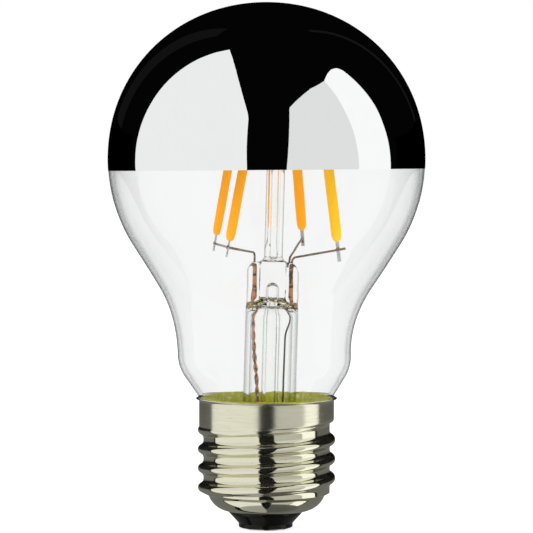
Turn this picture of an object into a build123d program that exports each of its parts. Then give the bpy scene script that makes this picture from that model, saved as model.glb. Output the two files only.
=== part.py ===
from build123d import *
import os
from math import asin, atan2, cos, degrees, hypot, radians, sin, tan

os.makedirs("parts", exist_ok=True)

# Clear-glass LED filament bulb with a mirrored crown and a screw cap.
# Millimetres. +Z runs up the bulb's axis, and z = 0 is the face of the centre contact.

# Screw cap: rolled thread of 7 turns to the inch
cap_height = 24.8
cap_wall = 0.3
thread_pitch = 25.4 / 7
thread_crest_radius = 13.0
thread_root_radius = 11.95
thread_root_flat = 0.31
thread_turns = 3
thread_start_height = 7.75
thread_start_angle = 180
thread_fade_turns = 0.6
ridge_depth_in_wall = 1.5
skirt_radius = 12.75
skirt_bottom_height = 19.55
skirt_bottom_tilt = 3.0
skirt_bottom_round = 0.55
lip_radius = 13.35
lip_curl_radius = 0.35
bowl_arc_radius = 4.2
bowl_arc_centre_radius = 6.65
bowl_arc_centre_height = 7.6
bowl_shoulder_angle = -18
bowl_shoulder_slope = 27
bowl_opening_radius = 7.3

# Insulator and centre contact
contact_radius = 4.25
contact_thickness = 0.6
contact_proud = 0.25
contact_edge_round = 0.15
boss_radius = 4.9
boss_edge_round = 0.3
boss_height = 0.75
insulator_cone_height = 3.4
insulator_foot_round = 0.35
wire_hole_radius = 0.65
pin_head_radius = 1.6
pin_head_thickness = 0.3
pin_recess = 0.05
pin_shank_radius = 0.55
pin_length = 3.0

# Glass envelope: oval crown, lower globe arc, straight cone, waist, shoulder and seal
glass_wall = 0.7
globe_radius = 29.8
crown_height = 29.4
crown_fullness = 0.567
globe_lower_arc = 30.1
globe_cone_length = 9.25
waist_arc = 24.0
waist_radius = 16.34
waist_above_cap = 8.0
neck_shoulder_arc = 7.5
neck_length = 6.878
seal_blend_arc = 3.0
seal_radius = 10.9
seal_depth = 7.3

# Mirror skin on the crown, its edge a little askew
mirror_thickness = 0.08
mirror_edge_below_equator = 1.95
mirror_edge_tilt = 0.43

# Stem mount: it leans to the right as it rises
mount_depth = 1.8
mount_offset = 0.5
mount_lean = 1.6
flare_radius = 5.0
flare_wall = 1.0
flare_length = 17.4
flare_bell_gap = 0.3
flare_bell_waist_radius = 6.2
flare_bell_waist_height = 2.8
flare_rim_thickness = 0.7
flare_dome_height = 2.2
flare_dome_fullness = 0.55
press_shoulder_length = 3.0
press_length = 7.2
press_width = 9.8
press_depth = 3.4
press_lobe_width = 2.5
press_web_thickness = 1.8
press_top_round = 0.4
post_foot_length = 2.4
post_foot_width = 5.2
exhaust_radius = 1.6
exhaust_bore_radius = 0.95
exhaust_into_press = 2.6
exhaust_tip_depth = 10.6
exhaust_tip_round = 1.44
blow_hole_radius = 1.3
blow_hole_height = 2.0
post_radius = 1.75
post_bore_radius = 0.67
post_bore_end = 1.2
post_above_filaments = 8.6
post_tip_round = 0.8

# Leads
lead_diameter = 0.4
lead_spread = 3.55
lead_grip = 1.0
lead_pair_gap = 0.5
lead_bend = 0.9
dumet_below_press = 2.8
copper_diameter = 0.36
copper_bend = 6.0
copper_turn_below_seal = 4.5
strand_gap = 0.46
lead_rise = 1.6
lead_climb = 1.0
lead_overrun = 1.3
short_lead_height = 4.1
weld_gap = 0.06

# Filaments: radii are about the mount's axis, heights above the top of the press
filament_radius = 1.0
filament_length = 30.0
filament_tip_length = 1.7
filament_tip_radius = 0.35
strip_width = 0.62
strip_thickness = 0.3
strip_lower_tab = 3.0
strip_upper_overrun = 0.8
support_diameter = 0.5
support_below_tip = 1.6
support_spacing = 0.7

# Route of the copper leads: straight run below the seal wire, then points on the mount's axes
left_copper_drop = 2.5
left_copper_upper = (-2.7, -1.4, 6.0)
left_copper_lower = (-2.1, -1.75, 0)
right_copper_drop = 1.2
right_copper_bend_drop = 3.6
right_copper_upper = (2.65, 0.2)
right_copper_lower = (2.5, 0, 0)

# Basing cement
cement_depth = 3.3
cement_proud = 0.25
cement_curl_angle = 75
cement_top_inset = 0.4

# Driver in the cap: places are from the bulb's axis
board_radius = 9.6
board_thickness = 1.0
capacitor_radius = 2.5
capacitor_height = 6.5
capacitor_round = 0.4
capacitor_place = (-6.2, 1.4)
rectifier_size = (4.7, 3.9, 2.4)
rectifier_leg_pitch = 2.5
rectifier_place = (5.2, -4.2)
chip_size = (4.9, 3.9, 1.5)
chip_leg_pitch = 1.27
chip_place = (-0.6, 5.6)
leg_size = (0.5, 1.0, 0.35)
resistor_radius = 1.0
resistor_length = 4.5
resistor_lift = 0.6
resistor_wire = 0.5
resistor_pitch = 7.5
resistor_place = (6.0, 5.2)
resistor_turn = -60
left_pad = (-3.0, -4.2)
left_pad_spacing = 1.3
right_pad = (4.0, 1.5)
side_pad_inset = 1.1
solder_radius = 0.8
solder_height = 0.6
solder_tip_wall = 0.1
centre_wire_diameter = 0.5
side_wire_diameter = 0.4
side_wire_rise = 2.5
side_wire_below_seal = 2.5
side_wire_below_cement = 0.3

# How far a cutting shape runs past what it cuts
cut_margin = 1.0

# Where each filament stands: angle from +X towards +Y, lower and upper radius, height of
# its lower end above the press, and the way the face of its strip looks
FILAMENTS = {
    "left_rear": (151, 12.6, 7.4, 4.4, 190),
    "left_front": (229, 12.5, 5.5, 3.9, 190),
    "right_rear": (64, 12.4, 5.2, 5.5, 64),
    "right_front": (-14, 12.3, 7.8, 3.4, -110),
}


def slope_between(arcs, straight, reach):
    """Angle from the axis, in radians, of a straight run between two arcs that cover a sideways reach."""
    return atan2(arcs, straight) + asin((reach - arcs) / hypot(arcs, straight))


# Angles and heights that follow from the sizes above
globe_arcs = globe_lower_arc + waist_arc
neck_arcs = neck_shoulder_arc + seal_blend_arc
cone_slope = slope_between(globe_arcs, globe_cone_length, globe_radius - waist_radius)
neck_slope = slope_between(neck_arcs, neck_length, waist_radius - seal_radius)
seal_height = cap_height - seal_depth
waist_height = cap_height + waist_above_cap
equator_height = waist_height + globe_arcs * sin(cone_slope) + globe_cone_length * cos(cone_slope)
press_foot = flare_length + press_shoulder_length
press_top = press_foot + press_length
post_length = filament_length + post_above_filaments
insulator_top = bowl_arc_centre_height + (bowl_arc_radius - cap_wall) * sin(radians(bowl_shoulder_angle))
board_top = insulator_top + board_thickness
curl_foot = cap_height - lip_curl_radius - cap_wall

# Place of the stem mount, whose own z = 0 is the foot of the straight flare tube
MOUNT = Location((mount_offset, 0, cap_height - mount_depth), (0, mount_lean, 0))


def lathe(*edges):
    """Solid turned about Z from a closed outline drawn as radius and height."""
    return revolve(Plane.XZ * make_face(list(edges)), Axis.Z)


def turned(*corners):
    """Solid turned about Z from an outline of straight lines."""
    return revolve(Plane.XZ * make_face(Polyline(*corners, close=True)), Axis.Z)


def tube(radius, low, high):
    """Round bar on Z between two heights."""
    return Pos(0, 0, (low + high) / 2) * Cylinder(radius, high - low)


def quarter_oval(radius, low, rise, fullness):
    """Curve from upright at a radius to level on the axis. A fullness of 0.5523 is nearly an ellipse."""
    high = low + rise
    return Bezier((radius, low), (radius, low + fullness * rise), (fullness * radius, high), (0, high))


def polar(radius, angle, height):
    """Point at a radius and an angle about the axis."""
    return Vector(radius * cos(radians(angle)), radius * sin(radians(angle)), height)


def on_mount(x, y, z):
    """Point of the stem mount, in the bulb's own frame."""
    return (MOUNT * Pos(x, y, z)).position


def bent_wire(points, diameter, bend):
    """Round wire through the points, each corner rounded as far as its two runs allow."""
    points = [Vector(point) for point in points]
    runs = [end - start for start, end in zip(points, points[1:])]
    radii = []
    for before, after in zip(runs, runs[1:]):
        half_turn = radians(before.get_angle(after)) / 2
        radii.append(min(bend, 0.45 * min(before.length, after.length) / tan(half_turn)))
    path = FilletPolyline(*points, radius=radii) if radii else Line(points[0], points[1])
    return sweep(Plane(origin=points[0], z_dir=runs[0]) * Circle(diameter / 2), path=path)


def save(name, shape):
    """Write one piece as its own file."""
    export_step(shape, f"parts/{name}.step")


# Glass envelope and mirror


def envelope_form(inset):
    """The blown form as a solid, its outline moved inwards by inset."""
    radius = waist_radius - inset
    waist = (radius, waist_height)
    globe_turn = degrees(cone_slope)
    neck_turn = degrees(neck_slope)

    upper_arc = JernArc(waist, (0, 1), waist_arc + inset, -globe_turn)
    cone = Line(upper_arc @ 1, upper_arc @ 1 + (upper_arc % 1) * globe_cone_length)
    globe_arc = JernArc(cone @ 1, cone % 1, globe_lower_arc - inset, globe_turn)
    crown = quarter_oval(globe_radius - inset, equator_height, crown_height - inset, crown_fullness)
    shoulder = JernArc(waist, (0, -1), neck_shoulder_arc - inset, -neck_turn)
    neck = Line(shoulder @ 1, shoulder @ 1 + (shoulder % 1) * neck_length)
    blend = JernArc(neck @ 1, neck % 1, seal_blend_arc + inset, neck_turn)
    seal = Line(blend @ 1, (seal_radius - inset, seal_height))
    base = Line(seal @ 1, (0, seal_height))
    axis = Line(base @ 1, crown @ 1)
    return lathe(upper_arc, cone, globe_arc, crown, shoulder, neck, blend, seal, base, axis)


envelope_solid = envelope_form(0)
glass_envelope = envelope_solid - envelope_form(glass_wall)

mirror_edge = Plane(
    origin=(0, 0, equator_height - mirror_edge_below_equator),
    z_dir=(-sin(radians(mirror_edge_tilt)), 0, cos(radians(mirror_edge_tilt))),
)
mirror_coating = split(envelope_form(-mirror_thickness) - envelope_solid, mirror_edge, keep=Keep.TOP)


# Screw shell


def thread_ridge(inset):
    """Rolled thread as a helical ridge of S-shaped flanks, which sinks away at both ends."""
    half_width = (thread_pitch - thread_root_flat) / 2
    depth = thread_crest_radius - thread_root_radius
    flank_arc = (half_width**2 + depth**2) / (4 * depth)
    sweep_angle = degrees(asin(half_width / 2 / flank_arc))
    root = thread_root_radius - inset

    low_flank = JernArc((root, -half_width), (0, 1), flank_arc + inset, -sweep_angle)
    crest = JernArc(low_flank @ 1, low_flank % 1, flank_arc - inset, 2 * sweep_angle)
    high_flank = JernArc(crest @ 1, crest % 1, flank_arc + inset, -sweep_angle)
    back = Polyline(
        high_flank @ 1,
        (root - ridge_depth_in_wall, half_width),
        (root - ridge_depth_in_wall, -half_width),
        low_flank @ 0,
    )
    section = Plane.XZ * make_face([low_flank, crest, high_flank, back])

    run = sweep(section, path=Helix(thread_pitch, thread_pitch * thread_turns, root), is_frenet=True)
    fade_height = thread_pitch * thread_fade_turns
    fade_path = Helix(
        thread_pitch, fade_height, root, cone_angle=-degrees(asin(depth / hypot(depth, fade_height)))
    )
    fade = sweep(section, path=fade_path, is_frenet=True)
    top_fade = Pos(0, 0, thread_pitch * thread_turns) * fade
    bottom_fade = Rot(180, 0, 0) * fade
    ridge = run + top_fade + bottom_fade
    return Pos(0, 0, thread_start_height) * Rot(0, 0, thread_start_angle) * ridge


def bowl_point(inset):
    """Where the bowl's arc gives way to its shoulder."""
    angle = radians(bowl_shoulder_angle)
    arc = bowl_arc_radius - inset
    return Vector(bowl_arc_centre_radius + arc * cos(angle), bowl_arc_centre_height + arc * sin(angle))


def shell_form(inset):
    """The cap's shape as a solid, its outline moved inwards by inset."""
    arc = bowl_arc_radius - inset
    bowl_floor = bowl_arc_centre_height - arc
    shoulder = bowl_point(inset)
    slope = radians(bowl_shoulder_slope)
    outside = thread_crest_radius + cut_margin
    reach = outside - shoulder.X
    bowl = CenterArc(
        (bowl_arc_centre_radius, bowl_arc_centre_height), arc, -90, 90 + bowl_shoulder_angle
    )
    bowl_trim = lathe(
        Line((0, bowl_floor), bowl @ 0),
        bowl,
        Polyline(
            bowl @ 1,
            shoulder + Vector(reach, reach * tan(slope)),
            (outside, cap_height),
            (0, cap_height),
            (0, bowl_floor),
        ),
    )

    tilt = radians(skirt_bottom_tilt)
    skirt_edge = Plane(origin=(0, 0, skirt_bottom_height + inset), z_dir=(-sin(tilt), 0, cos(tilt)))
    skirt = split(tube(skirt_radius - inset, bowl_arc_centre_height, curl_foot), skirt_edge, keep=Keep.TOP)
    skirt = fillet(skirt.edges().group_by(Axis.Z)[0], skirt_bottom_round + inset / 2)
    core = tube(thread_root_radius - inset, bowl_floor, cap_height)
    return (core + skirt + thread_ridge(inset)) & bowl_trim


def lip_form(inset):
    """The curled lip above the skirt as a solid: its underside, or its upper side when inset."""
    skirt = skirt_radius - inset
    curl = JernArc((skirt, curl_foot), (0, 1), lip_curl_radius + inset, -90)
    return lathe(
        curl,
        Polyline(
            curl @ 1,
            (lip_radius, (curl @ 1).Y),
            (lip_radius, cap_height + inset),
            (0, cap_height + inset),
            (0, curl_foot),
            (skirt, curl_foot),
        ),
    )


lip = lip_form(0) & tube(lip_radius + cut_margin, curl_foot, cap_height)
lip -= lip_form(cap_wall)
shell_top = tube(lip_radius, curl_foot, cap_height + cap_wall)
screw_shell = (shell_form(0) - shell_form(cap_wall)) - shell_top + lip
screw_shell -= tube(bowl_opening_radius, 0, insulator_top)


# Insulator, contact and pin

cone_foot = contact_proud + boss_height
bowl_inner_arc = bowl_arc_radius - cap_wall
opening_angle = degrees(asin((bowl_opening_radius - bowl_arc_centre_radius) / bowl_inner_arc)) - 90
bowl_inside = CenterArc(
    (bowl_arc_centre_radius, bowl_arc_centre_height),
    bowl_inner_arc,
    opening_angle,
    bowl_shoulder_angle - opening_angle,
)
insulator = lathe(
    bowl_inside,
    Polyline(
        bowl_inside @ 1,
        (wire_hole_radius, insulator_top),
        (wire_hole_radius, contact_proud),
        (boss_radius, contact_proud),
        (boss_radius, cone_foot),
        (bowl_opening_radius, insulator_cone_height),
        bowl_inside @ 0,
    ),
)


def boss_edge(solid, end):
    """Edge of the boss: 0 is its lower rim, -1 is where the cone starts."""
    rims = solid.edges().filter_by(GeomType.CIRCLE)
    return rims.filter_by(lambda edge: abs(edge.radius - boss_radius) < 0.01).sort_by(Axis.Z)[end]


insulator = fillet(boss_edge(insulator, 0), boss_edge_round)
insulator = fillet(boss_edge(insulator, -1), insulator_foot_round)

centre_contact = tube(contact_radius, 0, contact_thickness)
centre_contact = fillet(centre_contact.edges().group_by(Axis.Z)[0], contact_edge_round)
pin_seat = pin_recess + pin_head_thickness
contact_pin = tube(pin_head_radius, pin_recess, pin_seat) + tube(pin_shank_radius, pin_recess, pin_length)
insulator -= tube(contact_radius, 0, contact_thickness)
centre_contact -= tube(pin_head_radius, 0, pin_seat) + tube(pin_shank_radius, 0, contact_thickness)


# Stem: flare, press, exhaust tube and post


def bell(shrink, low):
    """Flared foot of the stem, from the seal up to the leaning tube."""
    foot_radius = seal_radius - glass_wall - flare_bell_gap - shrink
    waist_place = Pos(mount_offset / 2, 0, seal_height + flare_bell_waist_height)
    return loft([
        Pos(0, 0, low) * Circle(foot_radius),
        waist_place * Circle(flare_bell_waist_radius - shrink),
        MOUNT * Circle(flare_radius - shrink),
    ])


def dumbbell():
    """Section of the press: a thin web between the two lobes that grip the leads."""
    lobe_place = press_width / 2 - press_lobe_width / 2
    lobe = Ellipse(press_lobe_width / 2, press_depth / 2)
    web = Rectangle(2 * lobe_place, press_web_thickness)
    return web + Pos(lobe_place, 0) * lobe + Pos(-lobe_place, 0) * lobe


def lead_bar(side, low, high):
    """Straight seal wire in the press, on the mount's own axes."""
    return Pos(side * lead_spread, 0, 0) * tube(lead_diameter / 2, low, high)


dumet_foot = press_foot - dumet_below_press
lead_foot = press_top - lead_grip

shoulder_form = loft([
    Pos(0, 0, flare_length) * Circle(flare_radius),
    Pos(0, 0, press_foot) * SlotOverall(press_width, press_depth),
])
press_form = extrude(Pos(0, 0, press_foot) * dumbbell(), press_length)
press_form = fillet(press_form.faces().sort_by(Axis.Z)[-1].outer_wire().edges(), press_top_round)
post_foot = loft([
    Pos(0, 0, press_top - post_foot_length) * SlotOverall(post_foot_width, press_web_thickness),
    Pos(0, 0, press_top) * Circle(post_radius),
])
dome_arc = quarter_oval(flare_radius - flare_wall, flare_length, flare_dome_height, flare_dome_fullness)
dome = lathe(dome_arc, Polyline(dome_arc @ 1, (0, 0), (flare_radius - flare_wall, 0), dome_arc @ 0))

exhaust_top = press_foot - exhaust_into_press + flare_dome_height
exhaust_solid = tube(exhaust_radius, -exhaust_tip_depth, exhaust_top)
exhaust_solid = fillet(exhaust_solid.edges().group_by(Axis.Z)[0], exhaust_tip_round)
exhaust_bore = tube(exhaust_bore_radius, exhaust_radius - exhaust_tip_depth, exhaust_top)
exhaust_tube = MOUNT * (exhaust_solid - exhaust_bore)

chamber_top = press_foot + blow_hole_height
blow_hole = tube(blow_hole_radius, exhaust_top, chamber_top)
blow_hole += Pos(0, 0, chamber_top) * Sphere(blow_hole_radius)

dumet_left = MOUNT * lead_bar(-1, dumet_foot, lead_foot)
dumet_right = MOUNT * lead_bar(1, dumet_foot, lead_foot)

# Inner leads


def filament_lean(name):
    """Angle by which a filament leans inwards, in radians."""
    angle, low_radius, high_radius, low, face_angle = FILAMENTS[name]
    return asin((low_radius - high_radius) / filament_length)


def filament_point(name, height):
    """Point on a filament's centre line at a height of the mount."""
    angle, low_radius, high_radius, low, face_angle = FILAMENTS[name]
    rise = height - press_top - low
    return polar(low_radius - rise * tan(filament_lean(name)), angle, height)


def beside(name, height, diameter):
    """Where a wire of a diameter passes the inner face of a filament's strip."""
    face_angle = FILAMENTS[name][4]
    offset = strip_thickness / 2 + diameter / 2 + weld_gap
    return filament_point(name, height) - polar(offset, face_angle, 0)


def short_of(name, height, start):
    """Where a wire from start ends just before a filament's strip."""
    centre = filament_point(name, height)
    back = (Vector(start) - centre).normalized()
    return centre + back * (hypot(strip_width, strip_thickness) / 2 + weld_gap)


lead_height = press_top + lead_rise
cross_height = lead_height + lead_climb
left_front_pass = beside("left_front", cross_height, lead_diameter)
left_rear_pass = beside("left_rear", cross_height, lead_diameter)
cross_run = (left_rear_pass - left_front_pass).normalized()
inner_lead_left = bent_wire(
    [
        (-lead_spread, 0, lead_foot),
        (-lead_spread, 0, lead_height),
        left_front_pass - cross_run * lead_overrun,
        left_rear_pass + cross_run * lead_overrun,
    ],
    lead_diameter,
    lead_bend,
)

rear_foot = Vector(lead_spread - lead_pair_gap, 0, lead_foot)
rear_knee = Vector(lead_spread - lead_pair_gap, 0, press_top + lead_rise / 2)
inner_lead_right_rear = bent_wire(
    [rear_foot, rear_knee, short_of("right_rear", press_top + short_lead_height, rear_knee)],
    lead_diameter,
    lead_bend,
)
front_foot = Vector(lead_spread, 0, lead_foot)
front_knee = Vector(lead_spread, 0, press_top + lead_rise / 2)
right_front_pass = beside("right_front", cross_height, lead_diameter)
front_run = (right_front_pass - front_knee).normalized()
inner_lead_right_front = bent_wire(
    [front_foot, front_knee, right_front_pass + front_run * lead_overrun],
    lead_diameter,
    lead_bend,
)

inner_leads = {
    "inner_lead_left": inner_lead_left,
    "inner_lead_right_rear": inner_lead_right_rear,
    "inner_lead_right_front": inner_lead_right_front,
}

# Stem glass, less the wires that are sealed in it

flare_rim = turned(
    (seal_radius - glass_wall - flare_bell_gap - flare_wall, seal_height - flare_rim_thickness),
    (seal_radius, seal_height - flare_rim_thickness),
    (seal_radius, seal_height),
    (seal_radius - glass_wall - flare_bell_gap - flare_wall, seal_height),
)
stem_body = tube(flare_radius, 0, flare_length) + shoulder_form + press_form + post_foot
stem_glass = flare_rim + bell(0, seal_height) + MOUNT * stem_body
stem_glass -= bell(flare_wall, seal_height - flare_rim_thickness)
stem_glass -= MOUNT * (dome + exhaust_solid + blow_hole)
stem_glass -= dumet_left + dumet_right
for lead in inner_leads.values():
    stem_glass -= MOUNT * lead

post_top = press_top + post_length
centre_post = tube(post_radius, press_top, post_top)
centre_post = fillet(centre_post.edges().group_by(Axis.Z)[-1], post_tip_round)
centre_post -= tube(post_bore_radius, press_top + post_bore_end, post_top - support_below_tip - post_bore_end)

# Support wires in the tip of the post

support_high = post_top - support_below_tip / 2
support_low = support_high - support_spacing


def support_wire(first, second, height):
    """Wire through the post that joins the upper tabs of two filaments."""
    middle = Vector(0, 0, height)
    return bent_wire(
        [short_of(first, height, middle), middle, short_of(second, height, middle)],
        support_diameter,
        lead_bend,
    )


support_rear = support_wire("left_rear", "right_front", support_low)
support_front = support_wire("left_front", "right_rear", support_high)
centre_post -= support_rear + support_front

# Filaments


def filament_pieces(name):
    """Phosphor body and metal strip of one filament, on the mount's own axes."""
    face_angle = FILAMENTS[name][4]
    low = press_top + FILAMENTS[name][3]
    foot = filament_point(name, low)
    axis = (filament_point(name, low + 1) - foot).normalized()
    place = Plane(origin=foot, x_dir=axis.cross(polar(1, face_angle, 0)), z_dir=axis)

    high = filament_length
    low_tip = EllipticalCenterArc(
        (filament_tip_radius, filament_tip_length),
        filament_radius - filament_tip_radius, filament_tip_length, 270, arc_size=90,
    )
    high_tip = EllipticalCenterArc(
        (filament_tip_radius, high - filament_tip_length),
        filament_radius - filament_tip_radius, filament_tip_length, 0, arc_size=90,
    )
    body = lathe(
        low_tip,
        Line(low_tip @ 1, high_tip @ 0),
        high_tip,
        Polyline(high_tip @ 1, (0, high), (0, 0), low_tip @ 0),
    )
    strip_top = (support_high + strip_upper_overrun - low) / cos(filament_lean(name))
    strip = Pos(0, 0, (strip_top - strip_lower_tab) / 2) * Box(
        strip_width, strip_thickness, strip_top + strip_lower_tab
    )
    return place * (body - strip), place * strip


# Copper leads, inside the flare and down to the driver board

second_left_pad = (left_pad[0], left_pad[1] + left_pad_spacing)
centre_pad = (0, 0)
side_pad = (0, side_pad_inset - board_radius)
copper_turn = seal_height - copper_turn_below_seal


def left_strand(sideways, pad):
    """One of the two copper strands on the left."""
    upper_x, upper_y, upper_height = left_copper_upper
    lower_x, lower_y, lower_height = left_copper_lower
    return bent_wire(
        [
            on_mount(-lead_spread, sideways, dumet_foot),
            on_mount(-lead_spread, sideways, dumet_foot - left_copper_drop),
            on_mount(upper_x, upper_y + sideways, upper_height),
            on_mount(lower_x, lower_y + sideways, lower_height),
            (*pad, copper_turn),
            (*pad, insulator_top),
        ],
        copper_diameter,
        copper_bend,
    )


copper_lead_left_a = left_strand(0, left_pad)
copper_lead_left_b = left_strand(strand_gap, second_left_pad)
copper_lead_right = bent_wire(
    [
        on_mount(lead_spread, 0, dumet_foot),
        on_mount(lead_spread, 0, dumet_foot - right_copper_drop),
        on_mount(*right_copper_upper, dumet_foot - right_copper_bend_drop),
        on_mount(*right_copper_lower),
        (*right_pad, copper_turn),
        (*right_pad, insulator_top),
    ],
    copper_diameter,
    copper_bend,
)

# Driver board and what stands on it

centre_wire = tube(centre_wire_diameter / 2, pin_length, board_top + solder_height)
between_walls = (thread_root_radius - cap_wall + seal_radius) / 2
side_wire = bent_wire(
    [
        (*side_pad, insulator_top),
        (*side_pad, board_top + side_wire_rise),
        (0, -between_walls, seal_height - side_wire_below_seal),
        (0, -between_walls, cap_height - cement_depth - side_wire_below_cement),
    ],
    side_wire_diameter,
    lead_bend,
)
pads = {
    left_pad: copper_diameter,
    second_left_pad: copper_diameter,
    right_pad: copper_diameter,
    centre_pad: centre_wire_diameter,
    side_pad: side_wire_diameter,
}
driver_board = tube(board_radius, insulator_top, board_top)
solder_joints = []
for (x, y), diameter in pads.items():
    driver_board -= Pos(x, y, 0) * tube(diameter / 2, 0, cap_height)
    solder_joints.append(Pos(x, y, 0) * turned(
        (diameter / 2, board_top),
        (solder_radius, board_top),
        (diameter / 2 + solder_tip_wall, board_top + solder_height),
        (diameter / 2, board_top + solder_height),
    ))


def legged_chip(size, legs_a_side, gap):
    """Moulded component on two rows of legs, standing on z = 0."""
    length, width, height = size
    leg_length, leg_reach, leg_height = leg_size
    body = Pos(0, 0, leg_height + (height - leg_height) / 2) * Box(length, width, height - leg_height)
    body = chamfer(body.edges().group_by(Axis.Z)[-1], leg_height)
    for side in (-1, 1):
        for index in range(legs_a_side):
            along = (index - (legs_a_side - 1) / 2) * gap
            leg = Box(leg_length, leg_reach, 2 * leg_height)
            body += Pos(along, side * (width / 2 + leg_reach / 2 - leg_height), leg_height) * leg
    return body


bridge_rectifier = Pos(*rectifier_place, board_top) * legged_chip(rectifier_size, 2, rectifier_leg_pitch)
driver_chip = Pos(*chip_place, board_top) * legged_chip(chip_size, 4, chip_leg_pitch)
smoothing_capacitor = tube(capacitor_radius, board_top, board_top + capacitor_height)
smoothing_capacitor = fillet(smoothing_capacitor.edges().filter_by(GeomType.CIRCLE), capacitor_round)
smoothing_capacitor = Pos(*capacitor_place) * smoothing_capacitor
resistor_axis = board_top + resistor_lift + resistor_radius
resistor_body = Rot(0, 90, 0) * Cylinder(resistor_radius, resistor_length)
resistor_body = fillet(resistor_body.edges().filter_by(GeomType.CIRCLE), resistor_radius / 2)
half_pitch = resistor_pitch / 2
resistor_leads = bent_wire(
    [
        (-half_pitch, 0, board_top),
        (-half_pitch, 0, resistor_axis),
        (half_pitch, 0, resistor_axis),
        (half_pitch, 0, board_top),
    ],
    resistor_wire,
    lead_bend,
)
resistor = resistor_leads + Pos(0, 0, resistor_axis) * resistor_body
fuse_resistor = Pos(*resistor_place) * Rot(0, 0, resistor_turn) * resistor

# Basing cement between glass and cap

skirt_inside = skirt_radius - cap_wall
glass_middle = seal_radius - glass_wall / 2
cement_curl = JernArc((skirt_inside, curl_foot), (0, 1), lip_curl_radius + cap_wall, -cement_curl_angle)
cement_ring = lathe(
    cement_curl,
    Polyline(
        cement_curl @ 1,
        (skirt_inside - cement_top_inset, cap_height + cement_proud),
        (glass_middle, cap_height + cement_proud),
        (glass_middle, cap_height - cement_depth),
        (skirt_inside, cap_height - cement_depth),
        (skirt_inside, curl_foot),
    ),
)
cement_ring -= envelope_solid

save("glass_envelope", glass_envelope)
save("mirror_coating", mirror_coating)
save("stem_flare", stem_glass)
save("exhaust_tube", exhaust_tube)
save("centre_post", MOUNT * centre_post)
for lead_name, lead in inner_leads.items():
    save(lead_name, MOUNT * lead)
save("dumet_left", dumet_left)
save("dumet_right", dumet_right)
save("copper_lead_left_a", copper_lead_left_a)
save("copper_lead_left_b", copper_lead_left_b)
save("copper_lead_right", copper_lead_right)
save("top_support_rear", MOUNT * support_rear)
save("top_support_front", MOUNT * support_front)
for name in FILAMENTS:
    phosphor, strip = filament_pieces(name)
    save(f"filament_{name}", MOUNT * phosphor)
    save(f"strip_{name}", MOUNT * strip)
save("cement_ring", cement_ring)
save("screw_shell", screw_shell)
save("insulator", insulator)
save("centre_contact", centre_contact)
save("contact_pin", contact_pin)
save("driver_board", driver_board)
save("solder_joints", Compound(children=solder_joints))
save("bridge_rectifier", bridge_rectifier)
save("driver_chip", driver_chip)
save("smoothing_capacitor", smoothing_capacitor)
save("fuse_resistor", fuse_resistor)
save("centre_wire", centre_wire)
save("side_wire", side_wire)
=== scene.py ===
"""Clear filament bulb with a mirrored crown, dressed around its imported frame."""

import logging
import math
import random
from collections.abc import Iterator
from contextlib import contextmanager
from dataclasses import dataclass, field
from enum import Enum

import bpy
from mathutils import Matrix, Vector, noise


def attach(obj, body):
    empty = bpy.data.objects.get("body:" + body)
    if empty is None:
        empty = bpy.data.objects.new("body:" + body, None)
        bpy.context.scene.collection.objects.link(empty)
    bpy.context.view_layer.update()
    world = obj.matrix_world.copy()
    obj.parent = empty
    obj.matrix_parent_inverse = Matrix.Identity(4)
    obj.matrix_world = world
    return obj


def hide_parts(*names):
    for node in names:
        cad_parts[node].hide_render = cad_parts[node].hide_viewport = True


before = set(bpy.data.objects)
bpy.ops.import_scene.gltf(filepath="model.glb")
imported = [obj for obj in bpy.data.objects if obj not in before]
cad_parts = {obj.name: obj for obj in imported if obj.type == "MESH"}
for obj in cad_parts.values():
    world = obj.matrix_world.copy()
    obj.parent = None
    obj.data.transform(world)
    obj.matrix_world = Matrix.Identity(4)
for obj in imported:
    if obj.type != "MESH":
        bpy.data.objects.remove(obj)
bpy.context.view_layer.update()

MM = 0.001
BODY = "root"
NOISE_SEED = 7
MERGE_GAP = 0.002
GRAIN_RANGE = (0.3, 0.7)
WHITE = (1.0, 1.0, 1.0)
Colour = tuple[float, float, float]
Edge = tuple[tuple[float, float], ...]
Socket = bpy.types.NodeSocket
Sockets = dict[str | int, object]
log = logging.getLogger("bulb")


class Grain(Enum):
    """How a finish's fine pattern lies: the stretch of its noise along X, Y and Z."""

    SPECKLE = (1.0, 1.0, 1.0)
    TURNED = (0.06, 0.06, 1.0)
    UPRIGHT = (1.0, 1.0, 0.08)


class Ends(Enum):
    """Whether a turned outline is left open or runs back to its first point."""

    OPEN = "open"
    CLOSED = "closed"


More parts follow.
